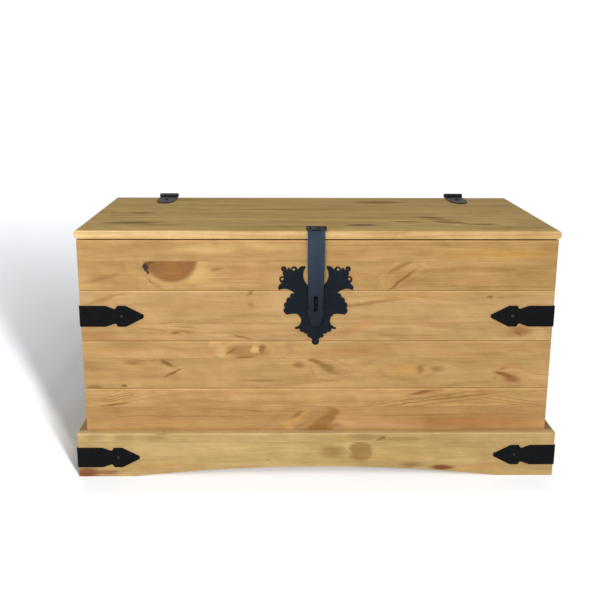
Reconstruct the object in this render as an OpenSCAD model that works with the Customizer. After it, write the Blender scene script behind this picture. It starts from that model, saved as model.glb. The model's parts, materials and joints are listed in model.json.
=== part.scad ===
// Wooden storage chest with a hinged lid, a swinging hasp and black iron fittings.
// Units are mm. +Z is up, the front faces -Y, and the origin is the centre of the
// footprint on the floor.

/* [Case] */
// length of the boarded case, left to right
case_length = 877; // [780:1:1000]
// depth of the boarded case, front to back
case_depth = 463; // [400:1:560]
// height of the closed chest to the top of the lid
chest_height = 473; // [460:1:500]
// thickness of the case planks
plank_t = 18; // [16:0.5:22]
// visible height of the top plank
plank_1_h = 93.7; // [85:0.1:98]
// visible height of the second plank
plank_2_h = 96.4; // [90:0.1:100]
// visible height of the third plank
plank_3_h = 92.8; // [85:0.1:98]
// height of the lower edge of the bottom plank above the floor
plank_foot_z = 40; // [34:1:50]
// depth of the V cut on each outer arris where two planks meet
joint_v = 1.6; // [0.8:0.1:2.5]
// side of the square corner posts inside the case
post_side = 30; // [24:1:36]

/* [Floor] */
// thickness of the floor boards
floor_t = 12; // [9:0.5:15]
// side of the square cleats under the floor boards
cleat_side = 20; // [16:1:22]
// number of floor boards across the depth
floor_boards = 4; // [3:1:6]

/* [Plinth] */
// height of the plinth frame
plinth_h = 88.5; // [80:0.5:100]
// thickness of the plinth boards
plinth_t = 16.5; // [14:0.5:20]
// rise of the arch cut in the front plinth board
arch_rise = 19.5; // [10:0.5:26]
// half the span of the arch
arch_half_span = 347; // [280:1:370]

/* [Lid] */
// thickness of the lid
lid_t = 15.5; // [15:0.5:19]
// overhang of the lid at each end
lid_end_overhang = 3; // [2:0.5:8]
// overhang of the lid at the front
lid_front_overhang = 4; // [3:0.5:5]
// gap between the planks and the lid, which rests on the corner posts
lid_gap = 2; // [1:0.5:3]
// rounding of the two ends of the lid
lid_end_r = 6; // [3:0.5:7]
// rounding of the front edge of the lid
lid_front_r = 2.5; // [1:0.5:4]
// distance of each batten under the lid from the middle
batten_x = 290; // [250:5:330]

/* [Lid hinges] */
// distance of each lid hinge from the middle
lid_hinge_x = 321.5; // [280:0.5:350]
// width of a lid hinge at its knuckles
lid_hinge_w = 39.5; // [34:0.5:46]
// length of a lid hinge leaf
lid_leaf_len = 104; // [90:1:110]
// length of the rounded point of a lid hinge leaf
lid_leaf_nose = 44; // [30:1:50]
// length of the hinge leaf on the back of the case
case_leaf_len = 64; // [56:1:90]
// outer radius of the lid hinge knuckles
lid_knuckle_r = 4.5; // [4:0.1:5]

/* [Hasp] */
// middle of the hasp, left (minus) or right of the middle of the chest
hasp_x = -4.2; // [-10:0.1:10]
// width of the hasp strap
strap_w = 31.2; // [28:0.2:33]
// distance from the hasp pin to the lower end of the strap
strap_len = 181.5; // [170:0.5:190]
// outer radius of the hasp knuckles
hasp_knuckle_r = 4; // [3.8:0.1:4.2]
// width of the slot in the strap
slot_w = 7.6; // [7:0.1:9]
// length of the slot in the strap
slot_len = 30; // [29:0.5:34]

/* [Fittings] */
// thickness of the iron plates
plate_t = 2; // [1.5:0.1:2.2]
// thickness of the leaf-shaped escutcheon
leaf_t = 1.5; // [1.2:0.1:2]
// height of a corner strap
corner_h = 39.4; // [34:0.2:44]
// height of the middle of the two upper corner straps
upper_strap_z = 313; // [305:1:325]
// height of the middle of the lower left corner strap
lower_left_z = 39.5; // [34:0.5:50]
// height of the middle of the lower right corner strap
lower_right_z = 43.2; // [34:0.1:50]

/* [Hidden] */
$fn = 48;
pin_r = 2;
bore_r = pin_r + 0.06;
knuckle_gap = 0.4;
half_l = case_length / 2;
half_d = case_depth / 2;
case_top = chest_height - lid_t - lid_gap;
joint_1_z = case_top - plank_1_h;
joint_2_z = joint_1_z - plank_2_h;
joint_3_z = joint_2_z - plank_3_h;
tongue_t = plank_t / 3;
tongue_h = 6;
groove_play = 0.3;
lid_under = chest_height - lid_t;
lid_half_l = half_l + lid_end_overhang;
lid_front_y = -half_d - lid_front_overhang;
lid_back_y = half_d - 0.5;
lid_board_w = (lid_back_y - lid_front_y) / 4;
batten_w = 45;
batten_t = 18;
batten_len = 396;
floor_z = plank_foot_z + cleat_side + 2;
post_bottom = floor_z + floor_t;
inner_l = half_l - plank_t;
inner_d = half_d - plank_t;
plinth_half_l = half_l + plinth_t;
plinth_half_d = half_d + plinth_t;
arch_r = (arch_half_span * arch_half_span + arch_rise * arch_rise) / (2 * arch_rise);
foot_side = plank_t + post_side;
lid_pin_y = half_d + lid_knuckle_r;
lid_pin_z = chest_height + lid_knuckle_r;
hasp_pin_y = lid_front_y - hasp_knuckle_r;
hasp_pin_z = chest_height + hasp_knuckle_r + 1;
hasp_w = strap_w + 4.4;
slot_top = 124.5;
leaf_axis_z = 332;
staple_wire_r = 1.75;
staple_bend_r = 4.75;
staple_drop = 3.6;
staple_top = hasp_pin_z - slot_top - staple_drop;
staple_out = 11.5;
screw_hole_play = 0.05;
hinge_screw_r = 2;
hinge_screw_back = 50;
hinge_head_r = 4;
hasp_screw_r = 1.5;
hasp_screw_dx = 7;
hasp_screw_up = 8;
hasp_plate_w = 24;
case_leaf_nose = 22;
case_leaf_drop = 1.5;
strap_nail_u = 76;
strap_nail_v = 0.8;
strap_nail_r = 1.5;
leaf_nail_r = 0.9;
ball_r = 6.8;
bite_at = [39.5, -27.5, -1];
bite_r = 12.8;
board_screw_dy = 28;
post_screw_shift = 8;
wood = [0.80, 0.62, 0.38];
inner_wood = [0.74, 0.57, 0.36];
iron = [0.10, 0.11, 0.13];

// ---- shared shapes ----

// Cross-section of a plank: outer face at 0, inner face at plank_t.
// has_tongue puts a tongue on the upper edge, has_groove a groove in the lower one.
function plank_section(low, high, has_tongue, has_groove) =
    let (
        t0 = (plank_t - tongue_t) / 2,
        t1 = (plank_t + tongue_t) / 2,
        g0 = t0 - groove_play,
        g1 = t1 + groove_play,
        gd = tongue_h + 0.5,
        vt = has_tongue ? joint_v : 1,
        vb = has_groove ? joint_v : 0.5
    )
    concat(
        [[0, low + vb], [vb, low]],
        has_groove ? [[g0, low], [g0, low + gd], [g1, low + gd], [g1, low]] : [],
        [[plank_t - vb, low], [plank_t, low + vb]],
        [[plank_t, high - vt], [plank_t - vt, high]],
        has_tongue ? [[t1, high], [t1, high + tongue_h], [t0, high + tongue_h], [t0, high]] : [],
        [[vt, high], [0, high - vt]]
    );

// Plank running left to right with its outer face towards -Y.
module long_plank(low, high, has_tongue, has_groove) {
    translate([-half_l, -half_d, 0]) rotate([90, 0, 90])
        linear_extrude(case_length)
            polygon(plank_section(low, high, has_tongue, has_groove));
}

// Plank running front to back between the long planks, outer face towards -X.
module end_plank(low, high, has_tongue, has_groove) {
    translate([-half_l, inner_d, 0]) rotate([90, 0, 0])
        linear_extrude(2 * inner_d)
            polygon(plank_section(low, high, has_tongue, has_groove));
}

// Quarter-round corner points about [cx, cy], from angle a0 through 90 degrees.
function quarter(cx, cy, r, a0) =
    [for (i = [0:6]) [cx + r * cos(a0 + 15 * i), cy + r * sin(a0 + 15 * i)]];

// Slab section with its two ends rounded on both arrises.
module lid_end_profile() {
    polygon(concat(
        quarter(-lid_half_l + lid_end_r, lid_under + lid_end_r, lid_end_r, 180),
        quarter(lid_half_l - lid_end_r, lid_under + lid_end_r, lid_end_r, 270),
        quarter(lid_half_l - lid_end_r, chest_height - lid_end_r, lid_end_r, 0),
        quarter(-lid_half_l + lid_end_r, chest_height - lid_end_r, lid_end_r, 90)
    ));
}

// One of the four boards of the lid, counted from the front.
module lid_board(i) {
    y0 = lid_front_y + i * lid_board_w;
    difference() {
        translate([0, y0 + lid_board_w, 0]) rotate([90, 0, 0])
            linear_extrude(lid_board_w) lid_end_profile();
        if (i == 0) {
            front_round(chest_height - lid_front_r, 1);
            front_round(lid_under + lid_front_r, -1);
        }
    }
}

// Cutter for a rounded front arris; side is 1 for the upper arris, -1 for the lower.
module front_round(z, side) {
    yc = lid_front_y + lid_front_r;
    translate([-lid_half_l - 1, 0, 0]) rotate([90, 0, 90])
        linear_extrude(2 * lid_half_l + 2)
            polygon(concat(
                [[lid_front_y - 1, z + side * (lid_front_r + 1)]],
                [[lid_front_y - 1, z]],
                [for (i = [0:6]) [yc - lid_front_r * cos(15 * i), z + side * lid_front_r * sin(15 * i)]],
                [[yc, z + side * (lid_front_r + 1)]]
            ));
}

// Low domed screw head with a slot, pointing up, seat at z = 0, and its shank.
module screw(head_r, head_h, shank_r, shank_len) {
    difference() {
        union() {
            cylinder(r1 = head_r, r2 = head_r * 0.62, h = head_h);
            translate([0, 0, -shank_len]) cylinder(r = shank_r, h = shank_len + 0.1);
        }
        translate([-head_r, -0.4, head_h - 0.5]) cube([2 * head_r, 0.8, 1]);
    }
}

// Hinge leaf: straight sides, then a rounded point of length nose.
module leaf_plate(w, len, nose, t) {
    linear_extrude(t) polygon(concat(
        [[-w / 2, 0], [w / 2, 0]],
        [for (a = [0:15:180]) [w / 2 * cos(a), len - nose + nose * sin(a)]]
    ));
}

// Round knuckle along X from x0 to x1 about the origin.
module knuckle(x0, x1, r) {
    translate([x0, 0, 0]) rotate([0, 90, 0]) cylinder(r = r, h = x1 - x0);
}

// ---- case ----

module front_plank_1() color(wood) long_plank(joint_1_z, case_top, false, true);
module front_plank_2() color(wood) long_plank(joint_2_z, joint_1_z, true, true);
module front_plank_3() color(wood) long_plank(joint_3_z, joint_2_z, true, true);
module front_plank_4() color(wood) long_plank(plank_foot_z, joint_3_z, true, false);

module back_plank_1() color(wood) mirror([0, 1, 0]) long_plank(joint_1_z, case_top, false, true);
module back_plank_2() color(wood) mirror([0, 1, 0]) long_plank(joint_2_z, joint_1_z, true, true);
module back_plank_3() color(wood) mirror([0, 1, 0]) long_plank(joint_3_z, joint_2_z, true, true);
module back_plank_4() color(wood) mirror([0, 1, 0]) long_plank(plank_foot_z, joint_3_z, true, false);

module left_plank_1() color(wood) end_plank(joint_1_z, case_top, false, true);
module left_plank_2() color(wood) end_plank(joint_2_z, joint_1_z, true, true);
module left_plank_3() color(wood) end_plank(joint_3_z, joint_2_z, true, true);
module left_plank_4() color(wood) end_plank(plank_foot_z, joint_3_z, true, false);

module right_plank_1() color(wood) mirror([1, 0, 0]) end_plank(joint_1_z, case_top, false, true);
module right_plank_2() color(wood) mirror([1, 0, 0]) end_plank(joint_2_z, joint_1_z, true, true);
module right_plank_3() color(wood) mirror([1, 0, 0]) end_plank(joint_3_z, joint_2_z, true, true);
module right_plank_4() color(wood) mirror([1, 0, 0]) end_plank(plank_foot_z, joint_3_z, true, false);

// Corner post standing on the floor boards; its top carries the lid.
module corner_post() {
    color(inner_wood) translate([-inner_l, -inner_d, post_bottom])
        cube([post_side, post_side, lid_under - post_bottom]);
}
module corner_post_front_left() corner_post();
module corner_post_front_right() mirror([1, 0, 0]) corner_post();
module corner_post_back_left() mirror([0, 1, 0]) corner_post();
module corner_post_back_right() mirror([0, 1, 0]) mirror([1, 0, 0]) corner_post();

// Four blocks under the corners, on which the chest stands.
module foot_blocks() {
    color(inner_wood) for (sx = [0, 1], sy = [0, 1])
        mirror([sx, 0, 0]) mirror([0, sy, 0])
            translate([-half_l, -half_d, 0]) cube([foot_side, foot_side, plank_foot_z]);
}

// Boards of the floor, laid left to right with fine gaps between them.
module floor_panel() {
    w = 2 * inner_d / floor_boards;
    color(inner_wood) for (i = [0:floor_boards - 1])
        translate([-inner_l, -inner_d + i * w + 0.2, floor_z])
            cube([2 * inner_l, w - 0.4, floor_t]);
}

// Cleats screwed round the inside of the lowest planks, under the floor boards.
module floor_cleats() {
    z = floor_z - cleat_side;
    color(inner_wood) {
        for (sy = [0, 1]) mirror([0, sy, 0])
            translate([-inner_l, -inner_d, z]) cube([2 * inner_l, cleat_side, cleat_side]);
        for (sx = [0, 1]) mirror([sx, 0, 0])
            translate([-inner_l, -inner_d + cleat_side + 0.3, z])
                cube([cleat_side, 2 * (inner_d - cleat_side - 0.3), cleat_side]);
    }
}

// Bearer across the middle, between the front and back cleats.
module floor_bearer() {
    w = 2 * cleat_side;
    color(inner_wood) translate([-w / 2, -inner_d + cleat_side, floor_z - cleat_side])
        cube([w, 2 * (inner_d - cleat_side), cleat_side]);
}

// ---- plinth ----

// Plinth board section with a small chamfer on its upper outer arris.
module plinth_section() {
    c = 1.5;
    polygon([[0, 0], [plinth_t, 0], [plinth_t, plinth_h], [c, plinth_h], [0, plinth_h - c]]);
}
module plinth_long() {
    translate([-plinth_half_l, -plinth_half_d, 0]) rotate([90, 0, 90])
        linear_extrude(2 * plinth_half_l) plinth_section();
}
module plinth_front() {
    color(wood) difference() {
        plinth_long();
        translate([0, -plinth_half_d - 1, arch_rise - arch_r]) rotate([-90, 0, 0])
            cylinder(r = arch_r, h = plinth_t + 2, $fn = 360);
    }
}
module plinth_back() color(wood) mirror([0, 1, 0]) plinth_long();
module plinth_end() {
    translate([-plinth_half_l, half_d, 0]) rotate([90, 0, 0])
        linear_extrude(case_depth) plinth_section();
}
module plinth_left() color(wood) plinth_end();
module plinth_right() color(wood) mirror([1, 0, 0]) plinth_end();

// ---- lid ----

module lid_board_1() color(wood) lid_board(0);
module lid_board_2() color(wood) lid_board(1);
module lid_board_3() color(wood) lid_board(2);
module lid_board_4() color(wood) lid_board(3);

// Batten across the underside of the lid, with bevelled ends.
module lid_batten(x) {
    b = 8;
    z0 = lid_under - batten_t;
    color(inner_wood) translate([x - batten_w / 2, 0, 0]) rotate([90, 0, 90])
        linear_extrude(batten_w) polygon([
            [-batten_len / 2, lid_under], [-batten_len / 2, z0 + b], [-batten_len / 2 + b, z0],
            [batten_len / 2 - b, z0], [batten_len / 2, z0 + b], [batten_len / 2, lid_under]
        ]);
}
module lid_batten_left() lid_batten(-batten_x);
module lid_batten_right() lid_batten(batten_x);

// Two screws through each batten into each lid board.
module batten_screws() {
    color(iron) for (sx = [-1, 1], i = [0:3], dy = [-board_screw_dy, board_screw_dy])
        translate([sx * batten_x, lid_front_y + (i + 0.5) * lid_board_w + dy, lid_under - batten_t])
            rotate([180, 0, 0]) screw(3.6, 1.4, 1.8, 28);
}

// Screws from the inside of each post into the planks on its two sides.
module post_screws() {
    levels = [joint_1_z + plank_1_h / 2, joint_2_z + plank_2_h / 2,
              joint_3_z + plank_3_h / 2, (joint_3_z + post_bottom) / 2];
    color(iron) for (sx = [0, 1], sy = [0, 1]) mirror([sx, 0, 0]) mirror([0, sy, 0])
        for (z = levels) {
            translate([-inner_l + post_side / 2, -inner_d + post_side, z - post_screw_shift])
                rotate([-90, 0, 0]) screw(3.6, 1.4, 1.8, 40);
            translate([-inner_l + post_side, -inner_d + post_side / 2, z + post_screw_shift])
                rotate([0, 90, 0]) screw(3.6, 1.4, 1.8, 40);
        }
}

// ---- lid hinges ----

seg = (lid_hinge_w - 2 * knuckle_gap) / 3;
mid0 = -seg / 2;
mid1 = seg / 2;

// Upper leaf: plate on the lid with the middle knuckle.
module hinge_lid_leaf(x) {
    hole_y = lid_back_y - hinge_screw_back;
    color(iron) difference() {
        union() {
            translate([x, lid_back_y, chest_height]) mirror([0, 1, 0])
                leaf_plate(lid_hinge_w, lid_leaf_len, lid_leaf_nose, plate_t);
            translate([x + mid0, lid_back_y - 1, chest_height])
                cube([seg, lid_pin_y - lid_back_y + 1, plate_t]);
            translate([x, lid_pin_y, lid_pin_z]) knuckle(mid0, mid1, lid_knuckle_r);
        }
        translate([x, lid_pin_y, lid_pin_z]) knuckle(mid0 - 1, mid1 + 1, bore_r);
        translate([x, hole_y, chest_height - 1])
            cylinder(r = hinge_screw_r + screw_hole_play, h = plate_t + 2);
    }
}
module hinge_lid_leaf_left() hinge_lid_leaf(-lid_hinge_x);
module hinge_lid_leaf_right() hinge_lid_leaf(lid_hinge_x);

// Lower leaf: plate on the back of the case with the two outer knuckles.
module hinge_case_leaf(x) {
    w = lid_hinge_w;
    top = chest_height - case_leaf_drop;
    color(iron) difference() {
        union() {
            translate([x, half_d + plate_t, top]) rotate([90, 0, 0]) mirror([0, 1, 0])
                leaf_plate(w, case_leaf_len, case_leaf_nose, plate_t);
            for (x0 = [-w / 2, mid1 + knuckle_gap]) {
                translate([x + x0, half_d, top - 1]) cube([seg, plate_t, lid_pin_z - top + 1]);
                translate([x, lid_pin_y, lid_pin_z]) knuckle(x0, x0 + seg, lid_knuckle_r);
            }
        }
        translate([x, lid_pin_y, lid_pin_z]) knuckle(-w, w, bore_r);
        for (z = case_screw_z) translate([x, half_d - 1, z]) rotate([-90, 0, 0])
            cylinder(r = hinge_screw_r + screw_hole_play, h = plate_t + 2);
    }
}
case_screw_z = [case_top - 12, case_top - 34];
module hinge_case_leaf_left() hinge_case_leaf(-lid_hinge_x);
module hinge_case_leaf_right() hinge_case_leaf(lid_hinge_x);

// Pin with a flat head at each end, so it stays in the knuckles.
module headed_pin(half_w, head_r, head_t) {
    knuckle(-half_w, half_w, pin_r);
    knuckle(-half_w - head_t, -half_w, head_r);
    knuckle(half_w, half_w + head_t, head_r);
}
module hinge_pin(x) {
    color(iron) translate([x, lid_pin_y, lid_pin_z]) headed_pin(lid_hinge_w / 2 + 0.1, 3.2, 1.2);
}
module hinge_pin_left() hinge_pin(-lid_hinge_x);
module hinge_pin_right() hinge_pin(lid_hinge_x);

// One screw through each lid leaf.
module hinge_lid_screws() {
    color(iron) for (sx = [-1, 1])
        translate([sx * lid_hinge_x, lid_back_y - hinge_screw_back, chest_height + plate_t])
            screw(hinge_head_r, 1.5, hinge_screw_r, 14);
}
// Two screws through each case leaf.
module hinge_case_screws() {
    color(iron) for (sx = [-1, 1], z = case_screw_z)
        translate([sx * lid_hinge_x, half_d + plate_t, z]) rotate([-90, 0, 0])
            screw(hinge_head_r, 1.5, hinge_screw_r, 14);
}

// ---- hasp ----

hasp_mid = hasp_w / 2 - 9;

// Fixed leaf on the front edge of the lid, with the middle knuckle.
module hasp_leaf() {
    plate_h = lid_t - 2.5;
    color(iron) difference() {
        union() {
            translate([hasp_x - hasp_plate_w / 2, lid_front_y - plate_t, lid_under + 1.5])
                cube([hasp_plate_w, plate_t, plate_h]);
            translate([hasp_x - hasp_mid, lid_front_y - plate_t, lid_under + plate_h])
                cube([2 * hasp_mid, plate_t, hasp_pin_z - lid_under - plate_h]);
            translate([hasp_x, hasp_pin_y, hasp_pin_z]) knuckle(-hasp_mid, hasp_mid, hasp_knuckle_r);
        }
        translate([hasp_x, hasp_pin_y, hasp_pin_z]) knuckle(-hasp_w, hasp_w, bore_r);
        for (s = [-1, 1])
            translate([hasp_x + s * hasp_screw_dx, lid_front_y - plate_t - 1, lid_under + hasp_screw_up])
                rotate([-90, 0, 0]) cylinder(r = hasp_screw_r, h = plate_t + 2);
    }
}
// Two flush screws through the fixed leaf; the strap hangs in front of them.
module hasp_leaf_screws() {
    color(iron) for (s = [-1, 1])
        translate([hasp_x + s * hasp_screw_dx, lid_front_y - plate_t - 0.4, lid_under + hasp_screw_up])
            rotate([-90, 0, 0]) cylinder(r = hasp_screw_r, h = plate_t + 14);
}
module hasp_pin() {
    color(iron) translate([hasp_x, hasp_pin_y, hasp_pin_z]) headed_pin(hasp_w / 2 + 0.1, 2.8, 0.8);
}

// Swinging strap: local z runs down from the pin, outline seen from the front.
module strap_outline() {
    flare = strap_len - 28.5;
    tip = strap_len;
    polygon([
        [-strap_w / 2, 0], [strap_w / 2, 0], [strap_w / 2, -70],
        [13.4, -flare + 10], [13.4, -flare + 2], [15.4, -flare - 1], [14.9, -flare - 5],
        [12.3, -flare - 14], [9.4, -flare - 22], [6.6, -tip + 1], [5.2, -tip],
        [-5.2, -tip], [-6.6, -tip + 1], [-9.4, -flare - 22], [-12.3, -flare - 14],
        [-14.9, -flare - 5], [-15.4, -flare - 1], [-13.4, -flare + 2], [-13.4, -flare + 10],
        [-strap_w / 2, -70]
    ]);
}
module hasp_strap() {
    half_slot = slot_len / 2 - slot_w / 2;
    color(iron) translate([hasp_x, hasp_pin_y, hasp_pin_z]) difference() {
        union() {
            translate([0, plate_t / 2, 0]) rotate([90, 0, 0]) linear_extrude(plate_t) strap_outline();
            knuckle(-hasp_w / 2, -hasp_mid - knuckle_gap, hasp_knuckle_r);
            knuckle(hasp_mid + knuckle_gap, hasp_w / 2, hasp_knuckle_r);
        }
        knuckle(-hasp_w, hasp_w, bore_r);
        knuckle(-hasp_mid - knuckle_gap, hasp_mid + knuckle_gap, hasp_knuckle_r + 1);
        translate([0, -plate_t, -slot_top - slot_len / 2]) {
            for (s = [-1, 1]) translate([0, 0, s * half_slot]) rotate([-90, 0, 0])
                cylinder(r = slot_w / 2, h = 2 * plate_t);
            translate([-slot_w / 2, 0, -half_slot]) cube([slot_w, 2 * plate_t, 2 * half_slot]);
        }
    }
}

// Upright wire staple driven through the escutcheon; its eye lies across the slot.
module hasp_staple() {
    zc = staple_top - staple_wire_r - staple_bend_r;
    y_bend = -half_d - staple_out + staple_wire_r + staple_bend_r;
    color(iron) translate([hasp_x, 0, zc]) {
        for (s = [-1, 1]) translate([0, y_bend, s * staple_bend_r]) rotate([-90, 0, 0])
            cylinder(r = staple_wire_r, h = -y_bend - inner_d);
        translate([0, y_bend, 0]) rotate([0, 90, 0]) rotate([0, 0, 180])
            rotate_extrude(angle = 180) translate([staple_bend_r, 0]) circle(r = staple_wire_r);
    }
}

// ---- escutcheon ----

// Right half of the escutcheon, u outwards from its axis, v up from its middle.
module upper_lobe() {
    difference() {
        union() {
            linear_extrude(leaf_t) polygon([
                [0, 20], [0, 33], [12, 36], [20, 75.5], [28.5, 74.5], [33.5, 68.5], [45.5, 68],
                [50, 73], [52.5, 68.5], [59, 66.5], [61, 61], [58.5, 57], [60, 46], [65, 42],
                [69.5, 36], [68, 31], [60, 30], [39, 24]
            ]);
            translate([39.8, 68.5, 0]) cylinder(r = 6.2, h = leaf_t);
            translate([58.8, 70.2, 0]) cylinder(r = 4.8, h = leaf_t);
            translate([60.8, 50.5, 0]) cylinder(r = 6.2, h = leaf_t);
        }
        translate([0, 59, -1]) scale([1, 1.06, 1]) cylinder(r = 23.2, h = leaf_t + 2);
        translate([57.5, 9.7, -1]) cylinder(r = 23.4, h = leaf_t + 2);
        translate([40.6, 69.2, -1]) cylinder(r = 2.6, h = leaf_t + 2);
        translate([61.4, 51.4, -1]) cylinder(r = 2.7, h = leaf_t + 2);
    }
}
module middle_lobe() {
    difference() {
        union() {
            linear_extrude(leaf_t) polygon([
                [0, 25], [39, 24.5], [44, 18], [50, 9], [54, -5], [56, -14], [54.6, -15.5],
                [40, -14], [0, -20]
            ]);
            for (c = [[42.2, 19.4, 5.2], [48.2, 11, 6], [52.6, 2, 6], [53.2, -8, 6]])
                translate([c[0], c[1], 0]) cylinder(r = c[2], h = leaf_t);
        }
        translate(bite_at) cylinder(r = bite_r, h = leaf_t + 2);
    }
}
module lower_lobe() {
    difference() {
        union() {
            linear_extrude(leaf_t) polygon([
                [0, -10], [32, -14], [32, -36], [38.9, -42], [36, -43.5], [27, -42], [18, -46],
                [10, -55], [4, -62], [0, -62]
            ]);
            for (c = [[24.5, -44, 5], [17.6, -47.8, 4.6], [10.6, -55, 4.8], [5.2, -58.6, 4]])
                translate([c[0], c[1], 0]) cylinder(r = c[2], h = leaf_t);
        }
        translate(bite_at) cylinder(r = bite_r, h = leaf_t + 2);
    }
}
module escutcheon() {
    leg_1 = staple_top - staple_wire_r - leaf_axis_z;
    leg_2 = leg_1 - 2 * staple_bend_r;
    color(iron) translate([hasp_x, -half_d, leaf_axis_z]) rotate([90, 0, 0]) difference() {
        union() {
            for (s = [0, 1]) mirror([s, 0, 0]) {
                upper_lobe();
                middle_lobe();
                lower_lobe();
            }
            translate([nail_spots[2][0], nail_spots[2][1], 0]) cylinder(r = ball_r, h = leaf_t);
        }
        for (v = [leg_1, leg_2]) translate([0, v, -1]) cylinder(r = staple_wire_r + 0.05, h = leaf_t + 2);
        for (p = nail_spots) translate([p[0], p[1], -1]) cylinder(r = leaf_nail_r, h = leaf_t + 2);
    }
}
nail_spots = [[-58.8, 70.2], [58.8, 70.2], [0, -67]];

// Round-headed nail pointing up, seat at z = 0.
module nail(head_r, head_h, shank_r, shank_len) {
    cylinder(r1 = head_r, r2 = head_r * 0.55, h = head_h);
    translate([0, 0, -shank_len]) cylinder(r = shank_r, h = shank_len + 0.1);
}
module escutcheon_nails() {
    color(iron) translate([hasp_x, -half_d, leaf_axis_z]) rotate([90, 0, 0])
        for (p = nail_spots) translate([p[0], p[1], leaf_t]) nail(2.6, 1.2, leaf_nail_r, 13);
}

// ---- corner straps ----

// Outline of one leg: u from the corner, v from the middle; it ends in an arrow head.
module strap_leg() {
    h = corner_h / 2;
    polygon([
        [0, -h], [46.5, -h], [62, -h + 5.6], [66, -h + 5], [68, -h], [84, -h],
        [115, -3.6], [116.8, -1.6], [116.8, 1.6], [115, 3.6],
        [84, h], [68, h], [66, h - 5], [62, h - 5.6], [46.5, h], [0, h]
    ]);
}
// Strap bent round a front corner that stands at [cx, cy]; left-hand corner.
module corner_strap(cx, cy, z) {
    color(iron) difference() {
        union() {
            translate([cx - plate_t, cy, z]) rotate([90, 0, 0]) linear_extrude(plate_t) strap_leg();
            translate([cx, cy - plate_t, z]) rotate([90, 0, -90]) mirror([1, 0, 0])
                linear_extrude(plate_t) strap_leg();
        }
        translate([cx + strap_nail_u, cy + 1, z + strap_nail_v]) rotate([90, 0, 0])
            cylinder(r = strap_nail_r, h = plate_t + 2);
        translate([cx + 1, cy + strap_nail_u, z + strap_nail_v]) rotate([0, -90, 0])
            cylinder(r = strap_nail_r, h = plate_t + 2);
    }
}
module corner_strap_upper_left() corner_strap(-half_l, -half_d, upper_strap_z);
module corner_strap_upper_right() mirror([1, 0, 0]) corner_strap(-half_l, -half_d, upper_strap_z);
module corner_strap_lower_left() corner_strap(-plinth_half_l, -plinth_half_d, lower_left_z);
module corner_strap_lower_right()
    mirror([1, 0, 0]) corner_strap(-plinth_half_l, -plinth_half_d, lower_right_z);

// Two nails in each strap, one in each leg.
module strap_nails(cx, cy, z) {
    translate([cx + strap_nail_u, cy - plate_t, z + strap_nail_v]) rotate([90, 0, 0])
        nail(3.2, 1.6, strap_nail_r, 15);
    translate([cx - plate_t, cy + strap_nail_u, z + strap_nail_v]) rotate([0, -90, 0])
        nail(3.2, 1.6, strap_nail_r, 15);
}
module corner_strap_nails() {
    color(iron) {
        strap_nails(-half_l, -half_d, upper_strap_z);
        mirror([1, 0, 0]) strap_nails(-half_l, -half_d, upper_strap_z);
        strap_nails(-plinth_half_l, -plinth_half_d, lower_left_z);
        mirror([1, 0, 0]) strap_nails(-plinth_half_l, -plinth_half_d, lower_right_z);
    }
}

// ---- selection ----

front_plank_1();
front_plank_2();
front_plank_3();
front_plank_4();
back_plank_1();
back_plank_2();
back_plank_3();
back_plank_4();
left_plank_1();
left_plank_2();
left_plank_3();
left_plank_4();
right_plank_1();
right_plank_2();
right_plank_3();
right_plank_4();
corner_post_front_left();
corner_post_front_right();
corner_post_back_left();
corner_post_back_right();
foot_blocks();
floor_panel();
floor_cleats();
floor_bearer();
plinth_front();
plinth_back();
plinth_left();
plinth_right();
lid_board_1();
lid_board_2();
lid_board_3();
lid_board_4();
lid_batten_left();
lid_batten_right();
batten_screws();
post_screws();
hinge_lid_leaf_left();
hinge_lid_leaf_right();
hinge_case_leaf_left();
hinge_case_leaf_right();
hinge_pin_left();
hinge_pin_right();
hinge_lid_screws();
hinge_case_screws();
hasp_leaf();
hasp_pin();
hasp_leaf_screws();
hasp_strap();
hasp_staple();
escutcheon();
escutcheon_nails();
corner_strap_upper_left();
corner_strap_upper_right();
corner_strap_lower_left();
corner_strap_lower_right();
corner_strap_nails();
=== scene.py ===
"""Looks of the wooden chest: pine boards, black iron fittings, studio light and camera.
Lengths are metres in the row frame: +Z up, the front faces -Y, origin on the floor."""
import json
import math
import random

import bmesh
import bpy
from mathutils import Matrix, Vector


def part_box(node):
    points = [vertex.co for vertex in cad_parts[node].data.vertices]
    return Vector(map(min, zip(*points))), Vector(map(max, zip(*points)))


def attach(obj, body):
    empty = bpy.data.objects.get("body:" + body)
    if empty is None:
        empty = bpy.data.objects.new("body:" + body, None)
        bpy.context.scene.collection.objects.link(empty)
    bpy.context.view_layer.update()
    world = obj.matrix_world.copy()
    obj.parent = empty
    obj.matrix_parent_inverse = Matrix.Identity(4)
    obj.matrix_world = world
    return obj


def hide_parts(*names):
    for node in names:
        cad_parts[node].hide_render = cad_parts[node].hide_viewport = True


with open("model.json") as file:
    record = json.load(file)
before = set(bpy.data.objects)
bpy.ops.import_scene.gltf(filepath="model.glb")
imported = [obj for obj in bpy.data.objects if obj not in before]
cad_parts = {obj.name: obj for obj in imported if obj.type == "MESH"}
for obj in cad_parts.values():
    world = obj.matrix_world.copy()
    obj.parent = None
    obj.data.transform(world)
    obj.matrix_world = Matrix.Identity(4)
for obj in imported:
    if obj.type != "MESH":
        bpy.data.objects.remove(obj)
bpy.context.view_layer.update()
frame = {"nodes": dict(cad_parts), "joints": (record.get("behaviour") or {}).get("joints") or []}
CAD = frame["nodes"]
MM = 0.001


# ---------------------------------------------------------------- node helpers

def srgb(r, g, b):
    """Linear colour of an 8-bit display colour."""
    def lin(c):
        c /= 255.0
        return c / 12.92 if c <= 0.04045 else ((c + 0.055) / 1.055) ** 2.4
    return (lin(r), lin(g), lin(b), 1.0)


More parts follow.
